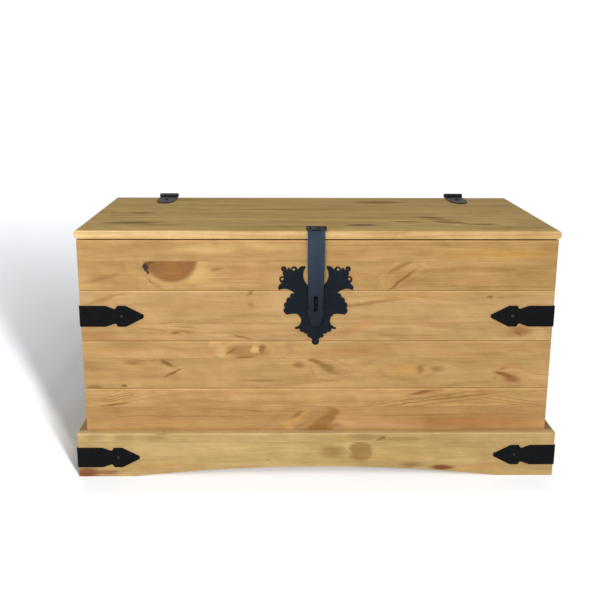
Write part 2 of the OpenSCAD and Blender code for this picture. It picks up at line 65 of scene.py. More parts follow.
class Net:
    """A small builder round one node tree. Arguments may be sockets or constants."""

    def __init__(self, tree):
        self.tree = tree

    def node(self, kind, **props):
        n = self.tree.nodes.new(kind)
        for k, v in props.items():
            setattr(n, k, v)
        return n

    def feed(self, socket, value):
        if isinstance(value, bpy.types.NodeSocket):
            self.tree.links.new(value, socket)
        elif value is not None:
            socket.default_value = value

    def fill(self, node, values):
        for key, value in values.items():
            self.feed(node.inputs[key], value)

    def math(self, op, a, b=None, c=None, clamp=False):
        n = self.node("ShaderNodeMath", operation=op, use_clamp=clamp)
        for i, v in enumerate((a, b, c)):
            self.feed(n.inputs[i], v)
        return n.outputs[0]

    def add(self, a, b):
        return self.math("ADD", a, b)

    def sub(self, a, b):
        return self.math("SUBTRACT", a, b)

    def mul(self, a, b, clamp=False):
        return self.math("MULTIPLY", a, b, clamp=clamp)

    def mad(self, a, b, c):
        """a times b plus c."""
        return self.math("MULTIPLY_ADD", a, b, c)

    def vec(self, op, a, b):
        n = self.node("ShaderNodeVectorMath", operation=op)
        self.feed(n.inputs[0], a)
        self.feed(n.inputs[1], b)
        return n.outputs[0]

    def combine(self, x, y, z):
        n = self.node("ShaderNodeCombineXYZ")
        for i, v in enumerate((x, y, z)):
            self.feed(n.inputs[i], v)
        return n.outputs[0]

    def separate(self, v):
        n = self.node("ShaderNodeSeparateXYZ")
        self.feed(n.inputs[0], v)
        return n.outputs

    def noise(self, v, scale, detail=2.0, rough=0.5):
        """Noise of a position stretched by a vector scale, 0 to 1."""
        p = self.vec("MULTIPLY", v, scale)
        n = self.node("ShaderNodeTexNoise", noise_dimensions="3D")
        self.fill(n, {"Vector": p, "Scale": 1.0, "Detail": detail, "Roughness": rough})
        return n.outputs[0]

    def step(self, x, low, high, a=0.0, b=1.0, smooth=True):
        """a below low, b above high, with a soft change between."""
        n = self.node("ShaderNodeMapRange", interpolation_type="SMOOTHSTEP" if smooth else "LINEAR")
        self.fill(n, {"Value": x, "From Min": low, "From Max": high, "To Min": a, "To Max": b})
        return n.outputs[0]

    def mix(self, fac, a, b, blend="MIX"):
        n = self.node("ShaderNodeMix", data_type="RGBA", blend_type=blend, clamp_factor=True)
        self.fill(n, {0: fac, 6: a, 7: b})
        return n.outputs[2]

    def lerp(self, fac, a, b):
        n = self.node("ShaderNodeMix", data_type="FLOAT", clamp_factor=True)
        self.fill(n, {0: fac, 2: a, 3: b})
        return n.outputs[0]

    def ramp(self, fac, stops):
        n = self.node("ShaderNodeValToRGB")
        self.feed(n.inputs[0], fac)
        els = n.color_ramp.elements
        while len(els) < len(stops):
            els.new(0.5)
        for e, (p, c) in zip(els, stops):
            e.position = p
            e.color = (c, c, c, 1)
        return n.outputs[0]

    def group(self, tree, **inputs):
        n = self.node("ShaderNodeGroup")
        n.node_tree = tree
        self.fill(n, inputs)
        return n.outputs


def new_material(name):
    mat = bpy.data.materials.new(name)
    mat.use_nodes = True
    mat.node_tree.nodes.clear()
    net = Net(mat.node_tree)
    out = net.node("ShaderNodeOutputMaterial")
    bsdf = net.node("ShaderNodeBsdfPrincipled")
    net.tree.links.new(bsdf.outputs[0], out.inputs[0])
    return mat, net, bsdf


def add_bump(net, bsdf, height, strength, distance):
    n = net.node("ShaderNodeBump")
    net.fill(n, {"Strength": strength, "Distance": distance, "Height": height})
    net.feed(bsdf.inputs["Normal"], n.outputs[0])


def new_group(name, vectors, floats, outputs):
    """Empty node group with those inputs and float outputs."""
    tree = bpy.data.node_groups.new(name, "ShaderNodeTree")
    for names, kind in ((vectors, "NodeSocketVector"), (floats, "NodeSocketFloat")):
        for socket in names:
            tree.interface.new_socket(socket, in_out="INPUT", socket_type=kind)
    for socket in outputs:
        tree.interface.new_socket(socket, in_out="OUTPUT", socket_type="NodeSocketFloat")
    net = Net(tree)
    return net, net.node("NodeGroupInput").outputs, net.node("NodeGroupOutput").inputs


# ---------------------------------------------------------------- pine

# the noises every board draws on: scale along the grain, across the face and into the board,
# detail, roughness
WOOD_NOISE = {"Fibre": ((14.0, 520.0, 520.0), 3.0, 0.6), "Grain": ((9.0, 230.0, 140.0), 3.0, 0.62),
              "Streak": ((3.6, 62.0, 40.0), 4.0, 0.6), "Blot": ((6.0, 22.0, 12.0), 4.0, 0.55)}
WARP_SCALE = (34.0, 85.0, 30.0)
WARP_REACH = (0.018, 0.0055, 0.0)


def rings_group():
    """Growth rings round a pith line along the board, with slow drift and fine fibres."""
    net, gin, gout = new_group("pine_rings", ("P",), ("PithU", "PithV", "RingW", "Bulge"),
                               ("Late", "Fibre", "Grain", "Streak", "Blot", "Band"))
    p = gin["P"]
    slow = net.noise(p, (1.7, 9.0, 9.0), 2.0)
    quick = net.noise(p, (6.0, 38.0, 38.0), 2.0)
    xyz = net.separate(p)
    du = net.sub(xyz[1], gin["PithU"])
    dv = net.sub(xyz[2], gin["PithV"])
    r = net.math("SQRT", net.add(net.mul(du, du), net.mul(dv, dv)))
    r = net.mad(slow, 0.034, r)
    r = net.mad(quick, 0.0045, r)
    r = net.add(r, gin["Bulge"])
    ring = net.math("DIVIDE", r, gin["RingW"])
    phase = net.math("FRACT", ring)
    late = net.ramp(phase, [(0.0, 0.12), (0.25, 0.0), (0.60, 0.22), (0.82, 0.85), (0.93, 1.0), (1.0, 0.12)])
    white = net.node("ShaderNodeTexWhiteNoise", noise_dimensions="1D")
    net.feed(white.inputs["W"], net.math("FLOOR", ring))
    late = net.mul(late, net.mad(white.outputs[0], 0.75, 0.25))
    fields = {"Late": late, "Band": white.outputs[0]}
    for name, (scale, detail, rough) in WOOD_NOISE.items():
        fields[name] = net.noise(p, scale, detail, rough)
    for name, field in fields.items():
        net.feed(gout[name], field)
    return net.tree


def mark_group():
    """D: how far a point is from a mark's middle, 1 at its edge; Y: how far across the mark."""
    net, gin, gout = new_group("pine_mark", ("P", "Centre", "Inverse"), ("Angle", "Lens", "Bow"), ("D", "Y"))
    rot = net.node("ShaderNodeVectorRotate", rotation_type="Z_AXIS")
    net.fill(rot, {"Vector": net.vec("SUBTRACT", gin["P"], gin["Centre"]), "Angle": gin["Angle"]})
    q = net.separate(net.vec("MULTIPLY", rot.outputs[0], gin["Inverse"]))
    x2 = net.mul(q[0], q[0])
    y = net.sub(q[1], net.mul(x2, gin["Bow"]))
    oval = net.math("SQRT", net.add(x2, net.mul(y, y)))
    lens = net.add(x2, net.math("ABSOLUTE", y))
    net.feed(gout["D"], net.lerp(gin["Lens"], oval, lens))
    net.feed(gout["Y"], y)
    return net.tree


RINGS = rings_group()
MARK = mark_group()

THIN_MARK = 0.0022
EARLY = srgb(193, 156, 99)
LATE = srgb(146, 100, 52)
END_GRAIN = srgb(150, 108, 60)
GROOVE = srgb(84, 58, 30)
TINTS = {
    "pale": srgb(212, 178, 116), "gold": srgb(200, 154, 78), "orange": srgb(190, 126, 62),
    "pink": srgb(184, 138, 88), "red": srgb(142, 88, 34), "brown": srgb(146, 102, 40),
    "olive": srgb(134, 98, 42), "dark": srgb(92, 60, 26), "knot": srgb(158, 108, 52),
    "knot_dark": srgb(128, 82, 38), "bark": srgb(34, 20, 10), "rust": srgb(126, 60, 20),
}

# Which object axes are along the grain, across the face, and into the board.
GRAIN = {"x_upright": (0, 2, 1), "x_flat": (0, 1, 2), "y_upright": (1, 2, 0), "y_flat": (1, 0, 2),
         "z": (2, 0, 1)}


def pine(name, lay, seed, edges=None, split=None, tones=(0.0, 0.0), reds=(0.1, 0.1), ring=(0.0065, 0.0065),
         piths=None, contrast=(0.55, 0.55), marks=(), hue=(1.0, 1.0, 1.0), fade=None,
         nose=None, shelf=None, foot=None, broad=0.10, gloss=0.35):
    """Material of one board.

    lay says which way the grain runs; edges are the low and high sides of the face, where
    the joints darken and a painted highlight runs just below the top edge; split is where two
    glued strips meet, and each pair is (low strip, high strip). hue scales red, green and blue;
    broad is the strength of the wide streaks. fade and nose are (from, to, light at from, light
    at to) along the grain, for the whole board or its front edge: fade is painted shade that
    darkens a board towards one end, and nose is a painted highlight on the front edge. foot
    is the same across it, painted light that lifts the shade just above the plinth, and shelf
    is painted light on the faces that look up.

    Marks are dicts: at (along, across), size (half length, half width), angle, side (-1 low
    strip, 1 high strip, 0 both), lens (pointed ends), bow, push (how far it bends the
    rings), tint and amount (its stain), soft (width of its edge), lines (how many fine lines
    it holds), core (a real knot, with its pith and halo) and loose (a core that warps)."""
    mat, net, bsdf = new_material(name)
    obj = net.separate(net.node("ShaderNodeTexCoord").outputs["Object"])
    ax = GRAIN[lay]
    p0 = net.combine(obj[ax[0]], obj[ax[1]], obj[ax[2]])
    g, u = obj[ax[0]], obj[ax[1]]
    rnd = random.Random(seed)
    shift = [tuple(rnd.uniform(-3, 3) for _ in range(3)) for _ in range(2)]
    high = 0.0 if split is None else net.step(u, split - 0.0002, split + 0.0002)

    def pick(pair):
        return float(pair[0]) if split is None else net.lerp(high, float(pair[0]), float(pair[1]))

    # each strip has its own piece of the log: the shift moves the noise, not the pith
    if split is None:
        off = o = shift[0]
    else:
        n = net.node("ShaderNodeMix", data_type="VECTOR")
        net.fill(n, {0: high, 4: shift[0], 5: shift[1]})
        off = n.outputs[1]
        o = net.separate(off)
    p = net.vec("ADD", p0, off)

    # marks sit on a gently warped face, so that none is a clean ellipse
    warp = net.node("ShaderNodeTexNoise", noise_dimensions="3D")
    net.fill(warp, {"Vector": net.vec("MULTIPLY", p, WARP_SCALE), "Scale": 1.0, "Detail": 3.0,
                    "Roughness": 0.62})
    bend = net.vec("MULTIPLY", net.vec("SUBTRACT", warp.outputs["Color"], (0.5, 0.5, 0.5)), WARP_REACH)
    pw = net.vec("ADD", p0, bend)
    pk = net.vec("ADD", p0, net.vec("MULTIPLY", bend, (0.35, 0.5, 0.0)))
    bulge = 0.0
    found = []
    for m in marks:
        k = net.group(MARK, P=pk if m.get("core") and not m.get("loose") else pw, Centre=(*m["at"], 0.0),
                      Inverse=(1 / m["size"][0], 1 / m["size"][1], 0.0), Lens=float(m.get("lens", 0)),
                      Angle=math.radians(-m.get("angle", 0)), Bow=float(m.get("bow", 0)))
        gate = 1.0
        if m.get("side", 0) and split is not None:
            gate = high if m["side"] > 0 else net.sub(1.0, high)
        if m.get("push"):
            d2 = net.mul(k["D"], k["D"])
            lift = net.math("POWER", 2.718, net.mul(d2, -0.34))
            bulge = net.mad(net.mul(lift, m["push"]), gate, bulge)
        found.append((m, k, gate))

    if piths is None:
        piths = [(rnd.uniform(-0.02, 0.02), rnd.choice((-1, 1)) * rnd.uniform(0.03, 0.09)) for _ in range(2)]
    mid = sum(edges) / 2 if edges else 0.0
    pu = net.add(pick((piths[0][0] + mid, piths[1][0] + mid)), o[1])
    pv = net.add(pick((piths[0][1], piths[1][1])), o[2])
    r = net.group(RINGS, P=p, PithU=pu, PithV=pv, RingW=pick(ring), Bulge=bulge)

    late = net.mul(r["Late"], pick(contrast), clamp=True)
    col = net.mix(late, EARLY, LATE)
    col = net.mix(net.mul(net.step(r["Band"], 0.55, 1.0), 0.20), col, TINTS["pale"])
    red = net.mad(net.step(r["Blot"], 0.42, 0.72), 0.30, pick(reds))
    col = net.mix(net.mul(red, 0.8), col, TINTS["pink"])

    # slow light and dark streaks, ripples across the grain, fine fibres, and the strip's own tone
    turn = net.node("ShaderNodeVectorRotate", rotation_type="Z_AXIS")
    net.fill(turn, {"Vector": p, "Angle": 0.6})
    ripple = net.noise(turn.outputs[0], (26.0, 44.0, 20.0), 3.0, 0.6)
    wide = net.noise(p, (1.6, 26.0, 20.0), 2.0)
    light = 1.0
    for field, amount in ((r["Streak"], 0.42), (r["Grain"], 0.40), (r["Fibre"], 0.36), (ripple, 0.34),
                          (r["Blot"], 0.72), (wide, broad)):
        swing = net.mad(net.sub(field, 0.5), amount, 1.0)
        light = net.mul(light, swing)
    pores = net.step(r["Grain"], 0.58, 0.74, 0.0, 0.13)
    light = net.mul(light, net.sub(1.0, pores))
    tone = net.add(pick(tones), 1.0)
    # painted shade: fade darkens the board along the grain
    if fade is not None:
        tone = net.mul(tone, net.step(g, fade[0], fade[1], fade[2], fade[3], smooth=False))
    light = net.mul(light, tone)
    normal = net.separate(net.node("ShaderNodeTexCoord").outputs["Normal"])
    # painted highlight on the lid's front edge, brighter at one end
    if nose is not None:
        front = net.step(net.mul(normal[1], -1.0), 0.3, 0.9)
        lift = net.step(g, nose[0], nose[1], nose[2], nose[3], smooth=False)
        light = net.mul(light, net.lerp(front, 1.0, lift))
    # painted light: shelf lightens the faces that look up, lifting their shade
    if shelf is not None:
        light = net.mul(light, net.step(normal[2], 0.5, 0.9, 1.0, shelf))
    # painted light: foot lightens the face just above the plinth, lifting the shade there
    if foot is not None:
        light = net.mul(light, net.step(u, foot[0], foot[1], foot[2], 1.0))

    grain_in = net.mad(net.sub(r["Streak"], 0.5), 1.1, 1.0)
    knot_all = 0.0
    for m, k, gate in found:
        soft = m.get("soft", 0.35)
        mask = net.mul(net.step(k["D"], 1.0 + soft * 0.5, 1.0 - soft), gate)
        if m.get("tint"):
            amount = min(0.97, (1.3 if m["size"][1] > THIN_MARK else 0.8) * m.get("amount", 0.5))
            if m.get("lines"):
                wave = net.math("SINE", net.mad(r["Streak"], 4.0, net.mul(k["Y"], m["lines"] * math.pi)))
                mask = net.mul(mask, net.step(wave, 0.15, 0.95))
            mask = net.mul(mask, grain_in, clamp=True)
            col = net.mix(net.mul(mask, amount), col, TINTS[m["tint"]])
        core = m.get("core", 0.0)
        if core <= 0:
            continue
        halo = net.mul(net.step(k["D"], 1.9, 1.02), gate)
        col = net.mix(net.mul(halo, m.get("halo", 0.2)), col, TINTS[m.get("halo_tint", "pale")])
        mask = net.mul(net.step(k["D"], 1.08, 0.88), gate)
        eye = net.group(MARK, P=pk, Centre=(*m.get("pith", m["at"]), 0.0), Angle=0.0,
                        Inverse=(0.6 / m["size"][1], 1 / m["size"][1], 0.0), Lens=0.0, Bow=0.0)
        rings_in = net.math("SINE", net.mad(r["Streak"], 3.0, net.mul(eye["D"], 26.0)))
        shade = net.mad(rings_in, 0.09, net.step(eye["D"], 0.05, 1.1, -0.05, 0.45))
        heart = net.mix(net.mad(r["Streak"], 0.45, shade), TINTS["knot"], TINTS["knot_dark"])
        col = net.mix(net.mul(mask, core), col, heart)
        rim = net.mul(net.step(net.math("ABSOLUTE", net.sub(k["D"], 1.0)), 0.10, 0.02), gate)
        col = net.mix(net.mul(rim, 0.15 * core), col, TINTS["knot_dark"])
        knot_all = net.mad(mask, core, knot_all)

    # end grain is darker, and dirt and shade sit in the joints
    end = net.step(net.math("ABSOLUTE", normal[ax[0]]), 0.75, 0.95)
    col = net.mix(net.mul(end, 0.55), col, END_GRAIN)
    if edges:
        near = net.math("MINIMUM", net.sub(u, edges[0]), net.sub(edges[1], u))
        col = net.mix(net.step(near, 0.0012, 0.0002, 0.0, 0.25), col, GROOVE)
        # painted highlight: a pale line just below the top edge, where the joint's chamfer faces up
        below = net.sub(edges[1], u)
        lit = net.mul(net.step(below, 0.0008, 0.0014), net.step(below, 0.0042, 0.0022))
        light = net.mul(light, net.mad(lit, 0.24, 1.0))
    if split is not None:
        seam = net.math("ABSOLUTE", net.sub(u, split))
        col = net.mix(net.step(seam, 0.0006, 0.0002, 0.0, 0.25), col, GROOVE)
    light = net.math("MAXIMUM", light, 0.2)
    warm = [light, net.math("POWER", light, 1.16), net.math("POWER", light, 1.65)]
    # the painted highlight on the front edge is whiter, with more blue
    if nose is not None:
        warm[2] = net.mul(warm[2], net.mad(front, 0.24, 1.0))
    col = net.mix(1.0, col, net.combine(*(net.mul(w, float(h)) for w, h in zip(warm, hue))), "MULTIPLY")

    rough = net.mad(end, 0.2, net.mad(late, -0.06, net.mad(r["Fibre"], 0.14, 0.42)))
    net.fill(bsdf, {"Base Color": col, "Roughness": rough, "Specular IOR Level": gloss})
    height = net.mad(late, 0.5, net.mul(r["Fibre"], 0.6))
    height = net.mad(knot_all, 0.4, height)
    add_bump(net, bsdf, height, 0.25, 0.0003)
    return mat


# ---------------------------------------------------------------- iron

def iron(name, base, worn, rough=0.5, metallic=0.0, specular=0.15, dents=0.5, wear=0.25, deep=None,
         rim=None):
    """Painted black iron: a forged, slightly dented skin with faint rubbed patches.

    deep is (high z, low z, share of the colour left at the low end); rim is the share left
    on the edges of a flat plate."""
    mat, net, bsdf = new_material(name)
    p = net.node("ShaderNodeTexCoord").outputs["Object"]
    cloud = net.noise(p, (60, 60, 60), 4.0, 0.6)
    fine = net.noise(p, (700, 700, 700), 2.0, 0.6)
    vor = net.node("ShaderNodeTexVoronoi", feature="SMOOTH_F1")
    net.fill(vor, {"Vector": p, "Scale": 150.0, "Smoothness": 0.7})
    rubbed = net.mul(net.step(cloud, 0.48, 0.74), wear)
    col = net.mix(rubbed, base, worn)
    col = net.mix(net.mul(fine, 0.25), col, tuple(0.6 * c for c in base[:3]) + (1,))
    if deep is not None:
        f = net.step(net.separate(p)[2], deep[1], deep[0], deep[2], 1.0)
        col = net.mix(1.0, col, net.combine(f, f, f), "MULTIPLY")
    # painted shade: rim darkens the faces that do not look up, the edges of a flat plate
    if rim is not None:
        f = net.step(net.separate(net.node("ShaderNodeTexCoord").outputs["Normal"])[2], 0.4, 0.8, rim, 1.0)
        col = net.mix(1.0, col, net.combine(f, f, f), "MULTIPLY")
    net.fill(bsdf, {"Base Color": col, "Roughness": net.mad(cloud, 0.22, rough - 0.11), "Metallic": metallic,
                    "Specular IOR Level": specular})
    height = net.mad(vor.outputs["Distance"], dents, net.mul(fine, 0.25))
    add_bump(net, bsdf, height, 0.35, 0.0006)
    return mat


IRON_STRAP = iron("iron_strap", srgb(13, 14, 16), srgb(34, 36, 40), rough=0.5, specular=0.08)
IRON_LEAF = iron("iron_leaf", srgb(20, 27, 36), srgb(42, 50, 62), rough=0.5, specular=0.10)
# the hasp's blue-grey is black iron with a painted sky sheen; it is darker towards the bottom
IRON_HASP_SHEEN = iron("iron_hasp_sheen", srgb(48, 62, 80), srgb(68, 84, 104), rough=0.42, specular=0.2, dents=0.35,
                 deep=(0.46, 0.305, 0.22))
IRON_BARREL = iron("iron_barrel", srgb(14, 15, 18), srgb(40, 42, 46), rough=0.34, specular=0.45, dents=0.2)
# the hinge leaf's rim is painted shade on the plate's edges
IRON_HINGE = iron("iron_hinge", srgb(64, 64, 63), srgb(124, 120, 112), rough=0.4, metallic=0.2, specular=0.4,
                  dents=0.25, wear=0.6, rim=0.12)
# the nail heads' pale rubbed colour is partly wear and partly a painted glint
IRON_NAIL = iron("iron_nail", srgb(34, 35, 38), srgb(120, 120, 116), rough=0.38, specular=0.3, dents=0.2,
                 wear=0.8)
ZINC = iron("zinc_screw", srgb(150, 146, 134), srgb(200, 196, 180), rough=0.38, metallic=0.9, specular=0.5,
            dents=0.15, wear=0.5)


# ---------------------------------------------------------------- mesh helpers

WELD = 2e-6
SHARP_EDGE = math.radians(28)


def add_object(name, data):
    obj = bpy.data.objects.new(name, data)
    bpy.context.scene.collection.objects.link(obj)
    return obj


def finish_mesh(name, bm, materials, body, replaces, smooth=35):
    """Turns a bmesh into a shaded piece that rides on a body and stands for CAD nodes."""
    bmesh.ops.remove_doubles(bm, verts=bm.verts, dist=1e-6)
    bmesh.ops.recalc_face_normals(bm, faces=bm.faces)
    me = bpy.data.meshes.new(name)
    bm.to_mesh(me)
    bm.free()
    for m in materials:
        me.materials.append(m)
    me.polygons.foreach_set("use_smooth", [True] * len(me.polygons))
    me.set_sharp_from_angle(angle=math.radians(smooth))
    obj = add_object(name, me)
    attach(obj, body)
    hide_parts(*replaces)


def loft(bm, rings, index=0):
    """Skin over closed rings of points, with a face at each end."""
    rows = [[bm.verts.new(p) for p in ring] for ring in rings]
    n = len(rows[0])
    faces = []
    for a, b in zip(rows, rows[1:]):
        for i in range(n):
            j = (i + 1) % n
            faces.append(bm.faces.new((a[i], a[j], b[j], b[i])))
    faces.append(bm.faces.new(rows[0][::-1]))
    faces.append(bm.faces.new(rows[-1]))
    for f in faces:
        f.material_index = index


def fillet(points, radii, steps=4):
    """Rounds the corners of a closed outline; a radius of 0 keeps a corner sharp."""
    out = []
    n = len(points)
    for i, (p, r) in enumerate(zip(points, radii)):
        a, b, c = Vector(points[i - 1]), Vector(p), Vector(points[(i + 1) % n])
        d1, d2 = (a - b).normalized(), (c - b).normalized()
        if r <= 0:
            out.append(tuple(b))
            continue
        half = d1.angle(d2) / 2
        reach = min(r / math.tan(half), (a - b).length * 0.49, (c - b).length * 0.49)
        p1, p2 = b + d1 * reach, b + d2 * reach
        for k in range(steps + 1):
            t = k / steps
            out.append(tuple((1 - t) ** 2 * p1 + 2 * t * (1 - t) * b + t ** 2 * p2))
    return out


def inset(points, d):
    """Moves a closed outline inwards by d along its corner normals."""
    area = sum(a[0] * b[1] - b[0] * a[1] for a, b in zip(points, points[1:] + points[:1]))
    sign = 1 if area > 0 else -1
    out = []
    n = len(points)
    for i in range(n):
        a, b, c = Vector(points[i - 1]), Vector(points[i]), Vector(points[(i + 1) % n])
        e1, e2 = (b - a).normalized(), (c - b).normalized()
        nrm = Vector((-e1.y, e1.x)) + Vector((-e2.y, e2.x))
        nrm = nrm.normalized() if nrm.length > 1e-9 else Vector((-e1.y, e1.x))
        out.append(tuple(b + nrm * d * sign))
    return out


def place(lay, along, across, depth):
    """Object point from board coordinates."""
    p = [0.0, 0.0, 0.0]
    ax = GRAIN[lay]
    p[ax[0]], p[ax[1]], p[ax[2]] = along, across, depth
    return tuple(p)


def board(bm, lay, outline, a0, a1, end=0.0007, index=0):
    """Board of one section (across, depth) from a0 to a1 along the grain, ends eased."""
    rings = []
    for a, d in ((a0, end), (a0 + end, 0.0), (a1 - end, 0.0), (a1, end)):
        sec = inset(outline, d) if d else outline
        rings.append([place(lay, a, p[0], p[1]) for p in sec])
    loft(bm, rings, index)


def slab(bm, lay, lo, hi, ease=0.001, index=0):
    """Plain board filling the box lo to hi, with eased arrises."""
    ax = GRAIN[lay]
    u0, u1, v0, v1 = lo[ax[1]], hi[ax[1]], lo[ax[2]], hi[ax[2]]
    outline = fillet([(u0, v0), (u1, v0), (u1, v1), (u0, v1)], [ease] * 4, 2)
    board(bm, lay, outline, lo[ax[0]], hi[ax[0]], ease * 0.7, index)


def soften(name, node, material, body, width, barrel=None):
    """Copy of a CAD node with welded flat faces and bevelled arrises.

    barrel is a circle (y, z, radius) in side view; what lies inside it is a dark knuckle."""
    bm = bmesh.new()
    bm.from_mesh(CAD[node].data)
    bmesh.ops.remove_doubles(bm, verts=bm.verts, dist=WELD)
    bmesh.ops.dissolve_limit(bm, angle_limit=math.radians(0.6), verts=bm.verts, edges=bm.edges)
    edges = [e for e in bm.edges if len(e.link_faces) == 2 and e.calc_face_angle(0) > SHARP_EDGE]
    bmesh.ops.bevel(bm, geom=edges, offset=width, segments=2, profile=0.6, affect="EDGES",
                    clamp_overlap=True)
    mats = [material]
    if barrel:
        mats.append(IRON_BARREL)
        for f in bm.faces:
            c = f.calc_center_median()
            if math.hypot(c.y - barrel[0], c.z - barrel[1]) < barrel[2]:
                f.material_index = 1
    finish_mesh(name, bm, mats, body, [node])


# ---------------------------------------------------------------- sizes from the CAD

def span(node, axis):
    lo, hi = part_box(node)
    return lo[axis], hi[axis]


FRONT_Y = span("front_plank_1", 1)
T = FRONT_Y[1] - FRONT_Y[0]
# heights of the joints between the wall planks, from the top edge down
LEVELS = [span("front_plank_1", 2)[1]] + [span(f"front_plank_{i}", 2)[0] for i in (1, 2, 3, 4)]

# ---------------------------------------------------------------- planks

V_CUT = 0.0010
TONGUE = 0.006
GROOVE_DEPTH = 0.0065
GROOVE_PLAY = 0.0003
# painted light, lifting the shade over the plinth's ledge: the walls are lighter just above the plinth; from
# this height, to this one, light at the first
FOOT_LIGHT = (0.0885, 0.115, 1.3)


def plank_outline(low, high, tongue, groove, outer, inner):
    """Section (across, depth): outer face at depth outer, inner face at inner."""
    s = 1 if inner > outer else -1
    vt = V_CUT if tongue else 0.001
    vb = V_CUT if groove else 0.0005

    def d(x):
        return outer + s * x
    pts = [((low + vb), d(0)), (low, d(vb))]
    rad = [0.0009, 0.0002]
    if groove:
        near, far = T / 3 - GROOVE_PLAY, 2 * T / 3 + GROOVE_PLAY
        for z, x in ((0, near), (GROOVE_DEPTH, near), (GROOVE_DEPTH, far), (0, far)):
            pts.append((low + z, d(x)))
            rad.append(0.0)
    pts += [(low, d(T - vb)), (low + vb, d(T)), (high - vt, d(T)), (high, d(T - vt))]
    rad += [0.0002, 0.0009, 0.0009, 0.0002]
    if tongue:
        for z, x in ((0, 2 * T / 3), (TONGUE, 2 * T / 3), (TONGUE, T / 3), (0, T / 3)):
            pts.append((high + z, d(x)))
            rad.append(0.0)
    pts += [(high, d(vt)), (high - vt, d(0))]
    rad += [0.0002, 0.0009]
    return fillet(pts, rad, 3)


def mark(side, x, z, rg, ru, tint=None, amount=0.5, soft=0.9, **more):
    """A mark in millimetres: its strip, middle, half length and half width, then its stain."""
    return dict(side=side, at=(x * MM, z * MM), size=(rg * MM, ru * MM), tint=tint, amount=amount, soft=soft,
                **more)


def line(*args, **more):
    """A mark with pointed ends."""
    return mark(*args, lens=1, **more)


